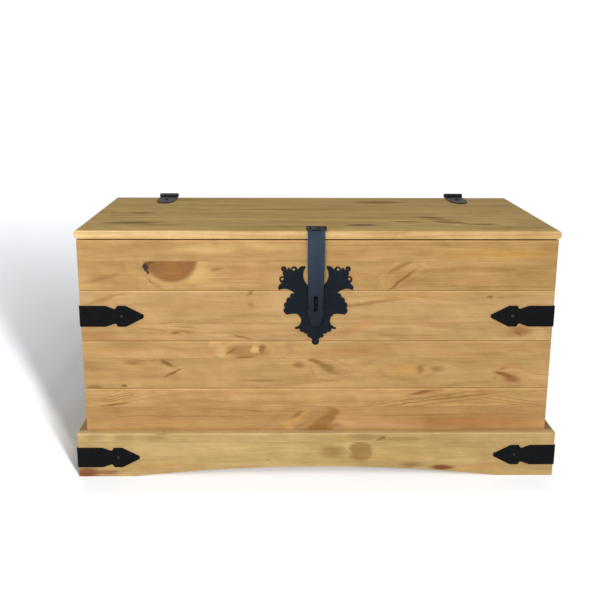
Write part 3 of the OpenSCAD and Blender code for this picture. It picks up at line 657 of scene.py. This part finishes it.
FRONT_MARKS = {
    1: [
        mark(1, -205, 439, 62, 9, "pale", 0.62, 0.5, push=0.004),
        mark(1, -96, 442, 66, 6, "pale", 0.50, 0.8, push=0.003),
        mark(1, -340, 440, 70, 12, "pink", 0.35),
        mark(1, 320, 431, 140, 12, "gold", 0.55, 0.7, lens=0.6, push=0.007),
        mark(1, 225, 439, 70, 5, "pale", 0.4, 0.8, angle=-3),
        mark(1, 60, 430, 60, 10, "pink", 0.35),
        mark(-1, -216, 395, 27, 26, "pale", 0.32, 0.6),
        mark(-1, -268, 415, 60, 47, "pale", 0.26, 0.5),
        mark(-1, -269, 416.5, 47.5, 39, core=0.97, pith=(-0.267, 0.408), push=0.026, halo=0.16),
        mark(-1, -314, 402, 4.6, 12, "bark", 1.0, 0.35, angle=14, bow=0.3),
        line(-1, -307, 413, 9, 2.4, "dark", 0.6, 0.7, angle=35),
        line(-1, -306, 380, 9, 1.6, "dark", 0.75, 0.6, angle=-52),
        line(-1, -298, 373, 10, 1.5, "dark", 0.5, 0.7, angle=-38),
        line(-1, -185, 401, 12, 3.4, "red", 0.60, angle=12),
        line(-1, -150, 383, 52, 1.5, "red", 0.45, bow=0.8),
        line(-1, -130, 376, 60, 1.3, "brown", 0.55),
        mark(-1, -128, 395, 70, 17, "pink", 0.45, 0.7, push=0.008),
        line(-1, -395, 385, 40, 6, "brown", 0.35, angle=14),
        line(-1, 156, 392, 40, 17, "pink", 0.25, 0.5, angle=38, push=0.016),
        line(-1, 154, 382, 40, 3.4, "brown", 0.80, 0.8, angle=38, bow=-0.5),
        line(-1, 150, 406, 32, 5.0, "brown", 0.50, angle=26),
        mark(-1, 173, 378, 20, 7, "pink", 0.75, 0.8, angle=20),
        line(-1, 290, 402, 130, 7, "brown", 0.32, 0.8, bow=-1.2, push=0.010),
        mark(-1, 60, 390, 40, 12, "orange", 0.25),
        line(-1, 310, 369, 130, 1.6, "red", 0.50),
        line(-1, 300, 380, 120, 5, "pink", 0.4),
    ],
    2: [
        mark(0, -266, 281, 10.5, 3.8, "red", 0.88, 0.7, push=0.012, lens=0.4),
        line(0, -252, 284, 26, 3.0, "brown", 0.5, angle=-8),
        line(0, -310, 288, 34, 1.6, "brown", 0.75, angle=-6),
        line(0, -246, 292, 30, 1.5, "brown", 0.75, angle=-5),
        line(0, -140, 299, 90, 1.2, "brown", 0.55, angle=-1),
        mark(0, -250, 301, 90, 5, "brown", 0.55, lines=3, angle=1),
        line(0, -142, 273, 24, 2.4, "brown", 0.85, 0.8, angle=-12),
        line(0, -180, 276, 26, 3.2, "pale", 0.5, 0.8),
        mark(0, -407, 276, 34, 8, "orange", 0.42),
        line(0, -330, 270, 70, 4, "orange", 0.28),
        mark(0, -200, 330, 150, 12, "pink", 0.40),
        line(0, -124, 357, 10, 3.0, "brown", 0.7, angle=28),
        line(0, -124, 334, 9, 5.0, "brown", 0.35, angle=-35),
        line(0, -394, 345, 46, 5, "brown", 0.40, angle=18),
        mark(0, 378, 284, 22, 8.5, "red", 0.50, 0.5, push=0.010),
        line(0, 374, 280, 9, 3.0, "red", 0.60, 0.6, angle=-30),
        mark(0, 318.5, 350, 6.5, 3.4, "olive", 0.75, 0.8),
        line(0, 340, 348, 9, 1.8, "brown", 0.6, 0.8),
        line(0, 96, 338, 62, 4, "brown", 0.45, angle=8),
        line(0, 185, 352, 120, 7, "gold", 0.30, angle=3),
        line(0, 225, 346, 80, 2.0, "brown", 0.35, angle=-6),
        mark(0, 70, 290, 44, 10, "orange", 0.30, angle=20),
        line(0, 150, 276, 90, 1.4, "brown", 0.5),
        line(0, 240, 301, 160, 3.2, "pink", 0.35),
    ],
    3: [
        mark(1, -132, 244, 50, 15, "brown", 0.42, 0.6, push=0.020, lens=0.4),
        line(1, -163, 245, 14, 2.6, "brown", 0.95, 0.6, angle=30),
        mark(1, -116, 249, 10, 8, "pale", 0.80, 0.5),
        mark(1, -104, 251.5, 6.5, 9, "brown", 0.75, 0.6, angle=-20, bow=0.4),
        line(1, -138, 234, 20, 2.6, "brown", 0.85, 0.8, angle=5),
        mark(1, -180, 246, 12, 12, "pale", 0.45, 0.7),
        mark(1, -215, 243, 26, 9, "pink", 0.75, 0.8),
        mark(1, -370, 248, 60, 9, "gold", 0.22),
        mark(-1, -344, 223, 17, 5.0, "brown", 0.60, push=0.008),
        mark(-1, -281, 221.5, 15, 5.0, "olive", 0.75, 0.8, angle=-25, push=0.010),
        line(-1, -272, 202.5, 20, 2.8, "olive", 0.85, 0.8, angle=28),
        mark(-1, -310, 210, 26, 6, "pink", 0.50, angle=-8),
        line(-1, -300, 228, 90, 1.3, "red", 0.55, 0.8),
        mark(-1, -35, 218, 12, 6, "brown", 0.60),
        mark(-1, -6, 226, 13, 5, "brown", 0.75, 0.8, angle=-20),
        mark(-1, -365, 177.5, 8, 3.2, "olive", 0.70, 0.4),
        mark(-1, -345, 178, 13, 3.2, "pale", 0.35, 0.4),
        mark(-1, -420, 176, 16, 3.4, "olive", 0.55, 0.6),
        line(-1, -105, 188, 44, 3.4, "olive", 0.4),
        mark(-1, 20, 212, 30, 9, "olive", 0.62, 0.8, angle=-30, lens=0.5, bow=0.4, push=0.018),
        line(-1, 24, 188, 24, 2.0, "red", 0.6, 0.8),
        mark(-1, 48, 205, 22, 9, "pink", 0.5, 0.8),
        mark(-1, 168, 209, 50, 15, "gold", 0.45, lens=0.5, push=0.010),
        mark(-1, 194, 210, 8, 10, "olive", 0.55),
        mark(-1, 228, 210, 14, 6, "olive", 0.45),
        line(-1, 200, 175, 20, 2.2, "orange", 0.75, 0.6),
        line(-1, 282, 224, 44, 1.7, "olive", 0.65, bow=1.6),
        mark(-1, 369, 191, 18, 9.5, "red", 0.66, 0.8, angle=-14, push=0.012),
        line(-1, 352, 200, 22, 4.6, "red", 0.75, 0.8, angle=-14),
        line(-1, 352, 212, 10, 2.6, "red", 0.75, 0.7, angle=24),
        mark(-1, 360, 216, 26, 8, "pink", 0.55),
        line(1, 60, 246, 52, 6, "orange", 0.35),
        line(1, 374, 246, 26, 1.8, "red", 0.60, 0.8),
        line(1, 280, 240, 90, 5, "pink", 0.30),
    ],
    4: [
        mark(1, -376, 155, 46, 7.5, "brown", 0.75, 0.6, angle=12, lines=3.4, push=0.008),
        line(1, -385, 140, 34, 2.4, "brown", 0.85, 0.7, angle=6),
        mark(1, -120, 146, 260, 6, "brown", 0.42, 0.8, lines=4),
        line(1, -200, 162, 150, 5, "pink", 0.5),
        mark(1, 200, 146, 170, 13, "brown", 0.55, 0.7, angle=8, lines=3.6, lens=0.7, bow=-0.35, push=0.014),
        mark(1, 360, 148, 90, 10, "brown", 0.42, 0.7, angle=-8, lines=3.6, lens=0.4),
        line(1, 200, 164, 30, 3.6, "red", 0.70, 0.8, angle=10),
        mark(-1, -8, 103, 42, 22, "olive", 0.25, 0.6, angle=38, push=0.012),
        mark(-1, 6, 98, 46, 13.5, "brown", 0.62, 0.4, angle=40, lens=0.8),
        mark(-1, 14, 92, 34, 9, "brown", 0.50, 0.6, angle=14, lens=0.6),
        mark(-1, 31, 127, 15, 8, "brown", 0.55, 0.6, angle=-30),
        line(-1, -40, 112, 34, 6.5, "gold", 0.65, 0.6, angle=34),
        mark(-1, -38, 120, 12, 4.5, "olive", 0.60, 0.8, angle=30),
        line(-1, 50, 118, 12, 9, "gold", 0.45, 0.7, angle=-60),
        line(-1, -255, 117, 190, 1.3, "red", 0.65, 0.8),
        line(-1, -110, 128, 120, 1.7, "olive", 0.60, 0.8, angle=-2),
        line(-1, 240, 119, 190, 1.5, "red", 0.65, 0.8, angle=0.6),
        line(-1, 300, 106, 160, 12, "orange", 0.50),
        line(-1, -330, 105, 90, 9, "orange", 0.22),
    ],
}
FRONT_LOOK = {
    1: dict(split=0.416, tones=(0.0, 0.0), reds=(0.12, 0.14), ring=(0.0075, 0.007), contrast=(0.46, 0.40),
            hue=(0.95, 0.91, 0.78)),
    2: dict(split=0.300, tones=(0.0, 0.03), reds=(0.16, 0.14), ring=(0.0060, 0.0065), contrast=(0.46, 0.34),
            hue=(0.99, 0.97, 0.96)),
    3: dict(split=0.2313, tones=(-0.03, 0.02), reds=(0.06, 0.14), ring=(0.0075, 0.007),
            contrast=(0.42, 0.42), hue=(0.95, 0.91, 0.81)),
    # plank 4's fade is painted shade, darker towards the right
    4: dict(split=0.1356, tones=(-0.07, 0.03), reds=(0.40, 0.06), ring=(0.006, 0.0055),
            contrast=(0.50, 0.55), hue=(1.0, 0.95, 0.84), fade=(0.0, 0.42, 1.0, 0.94)),
}


def random_marks(rnd, a0, a1, u0, u1, split, count):
    """A few knots somewhere on a board, drawn from a seeded generator."""
    out = []
    for _ in range(count):
        ru = rnd.choice((rnd.uniform(0.003, 0.005), rnd.uniform(0.004, 0.007), rnd.uniform(0.006, 0.011)))
        u = rnd.uniform(u0 + ru, u1 - ru)
        core = rnd.choice((0.0, 0.0, 0.6, 0.9))
        m = dict(at=(rnd.uniform(a0 + 0.03, a1 - 0.03), u), size=(ru * rnd.uniform(1.4, 2.6), ru),
                 core=core, push=rnd.uniform(0.006, 0.018), angle=rnd.uniform(-20, 20), loose=True)
        if not core:
            m.update(tint=rnd.choice(("brown", "olive", "red", "gold")), amount=0.5, soft=0.8,
                     lens=rnd.random())
        if split is not None:
            m["side"] = 1 if u > split else -1
        out.append(m)
    return out


def plank(side, i):
    """One of the sixteen wall planks."""
    low, high = LEVELS[i], LEVELS[i - 1]
    node = f"{side}_plank_{i}"
    groove, tongue = i < 4, i > 1
    lay = "x_upright" if side in ("front", "back") else "y_upright"
    lo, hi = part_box(node)
    ax = GRAIN[lay]
    outer, inner = (lo[ax[2]], hi[ax[2]]) if side in ("front", "left") else (hi[ax[2]], lo[ax[2]])
    a0, a1 = lo[ax[0]], hi[ax[0]]
    seed = {"front": 100, "back": 200, "left": 300, "right": 400}[side] + i
    rnd = random.Random(seed)
    if side == "front":
        look = dict(FRONT_LOOK[i])
        marks = FRONT_MARKS[i]
    else:
        split = low + (high - low) * rnd.uniform(0.4, 0.6)
        look = dict(split=split, tones=(rnd.uniform(-0.06, 0.06), rnd.uniform(-0.06, 0.06)),
                    reds=(rnd.uniform(0.05, 0.3), rnd.uniform(0.05, 0.3)),
                    ring=(rnd.uniform(0.005, 0.008), rnd.uniform(0.005, 0.008)),
                    contrast=(rnd.uniform(0.35, 0.6), rnd.uniform(0.35, 0.6)))
        marks = random_marks(rnd, a0, a1, max(low, 0.09), high, split, 4 if side == "back" else 2)
    if i == 4:
        look["foot"] = FOOT_LIGHT
    mat = pine(f"pine_{node}", lay, seed, edges=(low, high), marks=marks, **look)
    bm = bmesh.new()
    board(bm, lay, plank_outline(low, high, tongue, groove, outer, inner), a0, a1)
    finish_mesh(f"plank_{side}_{i}", bm, [mat], "case", [node])


for side in ("front", "back", "left", "right"):
    for i in (1, 2, 3, 4):
        plank(side, i)


# ---------------------------------------------------------------- plinth

ARCH_RISE = 0.0195
ARCH_HALF = 0.347
ARCH_R = (ARCH_HALF ** 2 + ARCH_RISE ** 2) / (2 * ARCH_RISE)
PLINTH_MARKS = [
    mark(1, -424, 81, 18, 9, "brown", 0.22),
    mark(1, -396, 80, 15, 8, "pale", 0.30, 0.4),
    mark(1, -364, 79, 20, 8, "brown", 0.22),
    line(1, -305, 79, 24, 5, "brown", 0.30),
    line(1, -292, 86.5, 16, 1.8, "red", 0.75, 0.8),
    mark(1, -200, 79, 90, 5, "pink", 0.3),
    line(-1, -93, 33.5, 5, 1.4, "dark", 0.8, 0.7),
    mark(-1, -440, 8, 26, 12, "rust", 1.0, 0.6),
    mark(-1, -398, 9, 30, 6, "rust", 0.60),
    mark(-1, -300, 22, 90, 8, "orange", 0.25),
    mark(1, 40, 81, 12, 6, "gold", 0.55, 0.5),
    mark(1, 90, 81, 34, 8, "olive", 0.32, 0.6),
    line(1, 122, 77, 13, 3.6, "olive", 0.60, 0.6, angle=28),
    line(1, 160, 75, 45, 4, "olive", 0.35, 0.7),
    mark(-1, 27, 50, 26, 15, "brown", 0.50, 0.7, push=0.010),
    mark(-1, 84, 50, 24, 21, "brown", 0.55, 0.25, push=0.008),
    line(-1, 57, 55, 16, 2.0, "pale", 0.75, 0.6, angle=-48),
    mark(-1, 150, 42, 60, 13, "gold", 0.30, 0.8),
    mark(-1, 183, 22.5, 22, 5.5, "olive", 0.55),
    mark(-1, 240, 17.5, 26, 5.2, "rust", 0.85, 0.6),
    mark(-1, 320, 18, 60, 7, "orange", 0.35),
]


def arch(x):
    """Height of the front board's lower edge."""
    if abs(x) >= ARCH_HALF:
        return 0.0
    return max(0.0, ARCH_RISE - ARCH_R + math.sqrt(ARCH_R ** 2 - x * x))


def plinth_board(side):
    node = f"plinth_{side}"
    lo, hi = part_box(node)
    lay = "x_upright" if side in ("front", "back") else "y_upright"
    ax = GRAIN[lay]
    outer, inner = (lo[ax[2]], hi[ax[2]]) if side in ("front", "left") else (hi[ax[2]], lo[ax[2]])
    s = 1 if inner > outer else -1
    top = hi[2]
    a0, a1 = lo[ax[0]], hi[ax[0]]
    ease = 0.0006
    stations = [a0 + ease] + [a0 + (a1 - a0) * t / 72 for t in range(1, 72)] + [a1 - ease]
    if side == "front":
        stations += [-ARCH_HALF, ARCH_HALF]
    rings = []
    for a in [a0] + sorted(stations) + [a1]:
        foot = arch(a) if side == "front" else 0.0
        pts = [(foot, outer), (foot, inner), (top, inner), (top, outer)]
        sec = fillet(pts, [0.0012, 0.0006, 0.0008, 0.0022], 4)
        if a in (a0, a1):
            sec = inset(sec, ease)
        rings.append([place(lay, a, q[0], q[1]) for q in sec])
    bm = bmesh.new()
    loft(bm, rings)
    if side == "front":
        # painted light and shade on the front board: shelf lightens its top face, and fade darkens it
        # towards the right
        mat = pine(f"pine_{node}", lay, 51, edges=(-0.01, top), split=0.0695, marks=PLINTH_MARKS,
                   tones=(0.03, 0.03), reds=(0.0, 0.0), ring=(0.0085, 0.0085), contrast=(0.34, 0.30),
                   hue=(1.0, 1.09, 1.09), fade=(-0.1, 0.25, 1.0, 0.90), shelf=1.6)
    else:
        rnd = random.Random(sum(map(ord, side)))
        marks = random_marks(rnd, a0, a1, 0.01, top, None, 3 if side == "back" else 1)
        mat = pine(f"pine_{node}", lay, 60 + len(side), edges=(-0.01, top), marks=marks, reds=(0.1, 0.1),
                   contrast=(0.4, 0.4))
    finish_mesh(f"plinth_board_{side}", bm, [mat], "case", [node])


for side in ("front", "back", "left", "right"):
    plinth_board(side)

# ---------------------------------------------------------------- lid

LID_END_R = 0.006
LID_FRONT_R = 0.0025
LID_BACK_R = 0.0015
LID_SHARP = 0.0001
# corner radii of a lid board's section, from its lower front corner round by the back
LID_RADII = {1: [LID_FRONT_R, LID_SHARP, LID_SHARP, LID_FRONT_R],
             4: [LID_SHARP, LID_BACK_R, LID_BACK_R, LID_SHARP]}
LID_MARKS = {
    1: [
        line(0, -345, -143, 62, 18, "olive", 0.9, angle=4, push=0.010),
        line(0, -300, -168, 50, 10, "brown", 0.55),
        line(0, 84, -168, 38, 11, "dark", 0.75, push=0.006),
        line(0, 310, -158, 40, 12, "olive", 0.9, push=0.006),
        line(0, 255, -135, 44, 12, "olive", 0.85, 0.7, angle=-25),
        line(0, 170, -128, 40, 8, "olive", 0.7, 0.7, angle=-14),
        line(0, -60, -190, 120, 12, "brown", 0.4),
        line(0, 350, -205, 80, 10, "brown", 0.4),
    ],
    2: [
        line(0, -349, -14, 34, 12, "olive", 0.9, push=0.006),
        line(0, 225, -72, 34, 12, "olive", 0.84, angle=-20, push=0.006),
        line(0, 240, -100, 50, 16, "brown", 0.45, angle=-25),
    ],
    3: [
        line(0, -89, 36, 130, 10, "brown", 0.55, push=0.008),
        mark(0, -400, 60, 40, 16, "gold", 0.4),
    ],
    4: [
        line(0, 145, 152, 60, 28, "olive", 0.66, push=0.012),
        line(0, -280, 190, 60, 20, "brown", 0.4),
    ],
}


def lid_board(i):
    node = f"lid_board_{i}"
    lo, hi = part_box(node)
    z0, z1 = lo[2], hi[2]
    rings = []
    near = [0.0, 0.0004, 0.0010, 0.0018, 0.0028, 0.0042, LID_END_R]
    xs = [lo[0] + s for s in near] + [lo[0] + (hi[0] - lo[0]) * t / 12 for t in range(1, 12)]
    xs += [hi[0] - s for s in reversed(near)]
    for x in xs:
        s = min(x - lo[0], hi[0] - x)
        drop = max(0.0, LID_END_R - s)
        e = min(LID_END_R - math.sqrt(LID_END_R ** 2 - drop ** 2), (z1 - z0) / 2 - 0.0028)
        pts = [(lo[1], z0 + e), (hi[1], z0 + e), (hi[1], z1 - e), (lo[1], z1 - e)]
        sec = fillet(pts, LID_RADII.get(i, [LID_SHARP] * 4), 5)
        rings.append([place("x_flat", x, q[0], q[1]) for q in sec])
    bm = bmesh.new()
    loft(bm, rings)
    split = (lo[1] + hi[1]) / 2
    rnd = random.Random(500 + i)
    # the lid's greener hue is partly a painted sky sheen on its top; nose is a painted highlight on the
    # front edge, brighter at the left
    mat = pine(f"pine_{node}", "x_flat", 500 + i, split=split, marks=LID_MARKS[i],
               tones=(rnd.uniform(0.04, 0.10), rnd.uniform(0.03, 0.08)), reds=(0.04, 0.04),
               ring=(0.007, 0.0085), contrast=(0.5, 0.45), hue=(1.11, 1.16, 0.94), gloss=0.1,
               nose=(-0.40, 0.30, 1.24, 0.95) if i == 1 else None, broad=0.45,
               piths=[(split + rnd.uniform(-0.02, 0.02), z0 - deep) for deep in (0.06, 0.09)])
    finish_mesh(f"lid_plank_{i}", bm, [mat], "lid", [node])


for i in (1, 2, 3, 4):
    lid_board(i)

# ---------------------------------------------------------------- inner woodwork


def inner_pine(name, lay, seed, count, box):
    rnd = random.Random(seed)
    lo, hi = box
    ax = GRAIN[lay]
    marks = random_marks(rnd, lo[ax[0]], hi[ax[0]], lo[ax[1]], hi[ax[1]], None, count)
    return pine(name, lay, seed, marks=marks, tones=(0.02, 0.02), reds=(0.05, 0.05), contrast=(0.4, 0.4),
                piths=[((lo[ax[1]] + hi[ax[1]]) / 2, (lo[ax[2]] + hi[ax[2]]) / 2 + 0.05)] * 2)


def islands(node):
    """Box of each separate solid in a CAD node, lowest corner first."""
    bm = bmesh.new()
    bm.from_mesh(CAD[node].data)
    bmesh.ops.remove_doubles(bm, verts=bm.verts, dist=WELD)
    left = set(bm.verts)
    boxes = []
    while left:
        todo = [left.pop()]
        pts = []
        while todo:
            v = todo.pop()
            pts.append(v.co.copy())
            for e in v.link_edges:
                w = e.other_vert(v)
                if w in left:
                    left.remove(w)
                    todo.append(w)
        boxes.append(tuple([end(q[a] for q in pts) for a in range(3)] for end in (min, max)))
    bm.free()
    return sorted(boxes)


def inner_boards(name, node, body, lays, ease, knots):
    bm = bmesh.new()
    mats = []
    for n, (lo, hi) in enumerate(islands(node)):
        lay = lays(lo, hi)
        slab(bm, lay, lo, hi, ease, n)
        mats.append(inner_pine(f"pine_{name}_{n + 1}", lay, 700 + 7 * n + len(name), knots, (lo, hi)))
    finish_mesh(name, bm, mats, body, [node])


def longest(lo, hi):
    """Grain along the longest side."""
    d = [hi[a] - lo[a] for a in range(3)]
    return ("x_flat", "y_flat", "z")[d.index(max(d))]


for corner in ("front_left", "front_right", "back_left", "back_right"):
    inner_boards(f"post_{corner}", f"corner_post_{corner}", "case", longest, 0.0015, 1)
inner_boards("floor_boards", "floor_panel", "case", longest, 0.0008, 2)
inner_boards("cleats", "floor_cleats", "case", longest, 0.001, 0)
inner_boards("bearer", "floor_bearer", "case", longest, 0.001, 0)
inner_boards("feet", "foot_blocks", "case", lambda lo, hi: "z", 0.0015, 0)

BATTEN_CUT = 0.008  # the cut-off corners at a batten's ends
for side in ("left", "right"):
    node = f"lid_batten_{side}"
    lo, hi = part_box(node)
    rings = []
    for y, z in ((lo[1], lo[2] + BATTEN_CUT), (lo[1] + BATTEN_CUT, lo[2]), (0.0, lo[2]),
                 (hi[1] - BATTEN_CUT, lo[2]), (hi[1], lo[2] + BATTEN_CUT)):
        pts = [(lo[0], z), (hi[0], z), (hi[0], hi[2]), (lo[0], hi[2])]
        sec = fillet(pts, [0.0015, 0.0015, 0.0002, 0.0002], 2)
        rings.append([(q[0], y, q[1]) for q in sec])
    bm = bmesh.new()
    loft(bm, rings)
    mat = inner_pine(f"pine_{node}", "y_flat", 900 + len(side), 1, (lo, hi))
    finish_mesh(f"batten_{side}", bm, [mat], "lid", [node])

# ---------------------------------------------------------------- iron fittings

STRAP_T = 0.002
STRAP_EDGE = 0.00045
BEND_IN = 0.0007  # inner radius of the bend
# half height of a strap at distances from the corner, in mm
STRAP_SHAPE = [
    (0, 19.7), (15, 19.7), (30, 19.7), (46.5, 19.7), (54, 17.0), (61, 14.3), (63, 13.9), (65, 14.2),
    (66.6, 16.6), (68, 19.4), (69.5, 19.7), (76, 19.7), (83, 19.7), (85, 19.1), (100, 11.2), (113, 4.6),
    (115, 3.7), (116.3, 2.7), (116.8, 1.7)]


def corner_strap(name, node, mirror):
    """Flat iron bent round a front corner, an arrow head at each end."""
    lo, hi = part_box(node)
    cz = (lo[2] + hi[2]) / 2
    sx = -1 if mirror else 1
    cx = STRAP_T - hi[0] if mirror else STRAP_T + lo[0]
    cy = lo[1] + STRAP_T
    arc = (BEND_IN + STRAP_T / 2) * math.pi / 4
    tip = STRAP_SHAPE[-1][0] * MM

    def half(u):
        u = abs(u) / MM
        for (u0, h0), (u1, h1) in zip(STRAP_SHAPE, STRAP_SHAPE[1:]):
            if u <= u1:
                return (h0 + (h1 - h0) * (u - u0) / (u1 - u0)) * MM
        return STRAP_SHAPE[-1][1] * MM

    def at(s, v, d):
        """s along the strap from the middle of the bend, v up, d out from the wood."""
        if abs(s) <= arc:
            ang = math.radians(225) - (s / arc) * math.radians(45)
            r = BEND_IN + d
            x, y = cx + BEND_IN + r * math.cos(ang), cy + BEND_IN + r * math.sin(ang)
        elif s < 0:
            x, y = cx + BEND_IN + (-s - arc), cy - d
        else:
            x, y = cx - d, cy + BEND_IN + (s - arc)
        return (sx * x, y, cz + v)

    def section(s, h, top):
        e = min(STRAP_EDGE, h * 0.4)
        side = max(top - e, 0.0003)
        left = [(-h, 0.0), (-h, side), (-h + e * 0.35, side + e * 0.65), (-h + e, top), (-h * 0.5, top)]
        pts = left + [(0.0, top)] + [(-v, d) for v, d in reversed(left)]
        return [at(s, v, d) for v, d in pts]

    us = sorted(u * MM for u in [p[0] for p in STRAP_SHAPE[1:]] + [22, 38, 58, 72.5, 79.5, 92, 106])
    ss = [-(u - BEND_IN + arc) for u in reversed(us)] + [arc * t / 4 for t in range(-4, 5)]
    ss += [(u - BEND_IN + arc) for u in us]
    rings = []
    for s in ss:
        u = abs(s) - arc + BEND_IN if abs(s) > arc else 0.0
        top = STRAP_T - (0.0005 if u > tip - 0.0003 else 0.0)
        rings.append(section(s, half(u), top))
    bm = bmesh.new()
    loft(bm, rings)
    finish_mesh(name, bm, [IRON_STRAP], "case", [node], 30)


for level in ("upper", "lower"):
    for side in ("left", "right"):
        corner_strap(f"strap_{level}_{side}", f"corner_strap_{level}_{side}", side == "right")

AXIS = {joint["name"]: joint["pos_m"] for joint in frame["joints"]}
HASP_BARREL = (*AXIS["hasp_hinge"][1:], 0.0046)
LID_BARREL = (*AXIS["lid_hinge"][1:], 0.0050)

# piece, CAD node, material, body, bevel, knuckle
BLACK_FITTINGS = [
    ("leaf_plate", "escutcheon", IRON_LEAF, "case", 0.00035, None),
    ("hasp_bar", "hasp_strap", IRON_HASP_SHEEN, "hasp", 0.0004, HASP_BARREL),
    ("hasp_fixed_leaf", "hasp_leaf", IRON_HASP_SHEEN, "lid", 0.0003, HASP_BARREL),
    ("hasp_pivot", "hasp_pin", IRON_BARREL, "lid", 0.0004, None),
    ("staple", "hasp_staple", IRON_LEAF, "case", 0.0003, None),
    ("hasp_fixed_screws", "hasp_leaf_screws", IRON_NAIL, "lid", 0.0003, None),
]
for side in ("left", "right"):
    BLACK_FITTINGS += [
        (f"hinge_upper_{side}", f"hinge_lid_leaf_{side}", IRON_HINGE, "lid", 0.0004, LID_BARREL),
        (f"hinge_lower_{side}", f"hinge_case_leaf_{side}", IRON_LEAF, "case", 0.0004, LID_BARREL),
        (f"hinge_pivot_{side}", f"hinge_pin_{side}", IRON_BARREL, "case", 0.0004, None),
    ]
BLACK_FITTINGS += [
    ("hinge_screws_lid", "hinge_lid_screws", IRON_STRAP, "lid", 0.00025, None),
    ("hinge_screws_case", "hinge_case_screws", IRON_STRAP, "case", 0.00025, None),
    ("leaf_nails", "escutcheon_nails", IRON_NAIL, "case", 0.0004, None),
    ("strap_nails", "corner_strap_nails", IRON_NAIL, "case", 0.0004, None),
]
for name, node, material, body, bevel, barrel in BLACK_FITTINGS:
    soften(name, node, material, body, bevel, barrel)
soften("screws_batten", "batten_screws", ZINC, "lid", 0.00025)
soften("screws_post", "post_screws", ZINC, "case", 0.00025)

# ---------------------------------------------------------------- floor, light, camera

FLOOR_WHITE = srgb(238, 240, 243)
FLOOR_OFF_WHITE = srgb(235, 237, 240)


def make_floor():
    bm = bmesh.new()
    bmesh.ops.create_grid(bm, x_segments=2, y_segments=2, size=30.0)
    me = bpy.data.meshes.new("studio_floor")
    bm.to_mesh(me)
    bm.free()
    mat, net, bsdf = new_material("floor_white")
    p = net.node("ShaderNodeTexCoord").outputs["Object"]
    col = net.mix(net.noise(p, (3, 3, 3)), FLOOR_WHITE, FLOOR_OFF_WHITE)
    net.fill(bsdf, {"Base Color": col, "Roughness": 0.9, "Specular IOR Level": 0.1})
    me.materials.append(mat)
    floor = add_object("studio_floor", me)
    return floor


def aim(obj, where, target):
    obj.location = where
    obj.rotation_euler = (Vector(target) - Vector(where)).to_track_quat("-Z", "Y").to_euler()


def area(name, where, target, size, power):
    light = bpy.data.lights.new(name, "AREA")
    light.shape = "RECTANGLE"
    light.size, light.size_y = size
    light.energy = power
    obj = add_object(name, light)
    aim(obj, where, target)
    return obj


studio_floor = make_floor()
KEY_POWER = 92
key = area("key", (-1.2, -3.6, 2.7), (0.0, 0.0, 0.25), (2.0, 1.4), KEY_POWER)

# A tall narrow bank of lamps, front right, for the floor alone: its long soft shadow falls to
# the back left. One high lamp behind the chest makes the faint shadow in front of it. Each
# pair is the height angle in degrees and the light it gives the floor.
BANK_TURN = math.radians(23)
BANK = ((8.0, 0.09), (10.5, 0.15), (13.5, 0.12), (17.5, 0.11), (23.0, 0.09), (31.0, 0.09), (42.0, 0.09),
        (58.0, 0.06))
BANK_SPREAD = math.radians(4)
BANK_AWAY = 8
BACK_LAMP = (79.0, 0.10)
floor_only = bpy.data.collections.new("floor_only")
floor_only.objects.link(studio_floor)
chest_only = bpy.data.collections.new("chest_only")
chest_only.objects.link(studio_floor)
chest_only.collection_objects[0].light_linking.link_state = "EXCLUDE"
key.light_linking.receiver_collection = chest_only
for angle, share, turn in [(*pair, BANK_TURN) for pair in BANK] + [(*BACK_LAMP, math.pi)]:
    h = math.radians(angle)
    sun = bpy.data.lights.new(f"bank_{angle:g}", "SUN")
    sun.energy = share * math.pi / math.sin(h)
    sun.angle = BANK_SPREAD
    lamp = add_object(sun.name, sun)
    towards = Vector((math.sin(turn) * math.cos(h), -math.cos(turn) * math.cos(h), math.sin(h)))
    aim(lamp, BANK_AWAY * towards, (0, 0, 0))
    lamp.light_linking.receiver_collection = floor_only

# The room is white to look at, and lights the chest more gently.
SKY_LIGHT = 0.34
SKY_SEEN = 1.2
world = bpy.data.worlds.new("studio")
bpy.context.scene.world = world
world.use_nodes = True
net = Net(world.node_tree)
seen = net.node("ShaderNodeLightPath").outputs["Is Camera Ray"]
sky = world.node_tree.nodes["Background"]
sky.inputs[0].default_value = (1.0, 1.0, 1.0, 1)
net.feed(sky.inputs[1], net.lerp(seen, SKY_LIGHT, SKY_SEEN))

CAM_AT = Vector((-0.063, -1.9779, 0.7539))
YAW, PITCH, ROLL = (math.radians(v) for v in (0.992, 16.043, 0.225))
cam_data = bpy.data.cameras.new("camera")
cam_data.lens = 58.29
cam_data.sensor_width = 36.0
cam_data.shift_y = 0.08
cam_data.clip_end = 100
cam = add_object("camera", cam_data)
fwd = Vector((math.sin(YAW) * math.cos(PITCH), math.cos(YAW) * math.cos(PITCH), -math.sin(PITCH)))
right = Vector((math.cos(YAW), -math.sin(YAW), 0))
up = right.cross(fwd)
r2 = math.cos(ROLL) * right + math.sin(ROLL) * up
u2 = -math.sin(ROLL) * right + math.cos(ROLL) * up
rot = Matrix((r2, u2, -fwd)).transposed()
cam.matrix_world = Matrix.Translation(CAM_AT) @ rot.to_4x4()
bpy.context.scene.camera = cam
bpy.context.scene.view_settings.view_transform = "Standard"
bpy.context.scene.view_settings.look = "None"
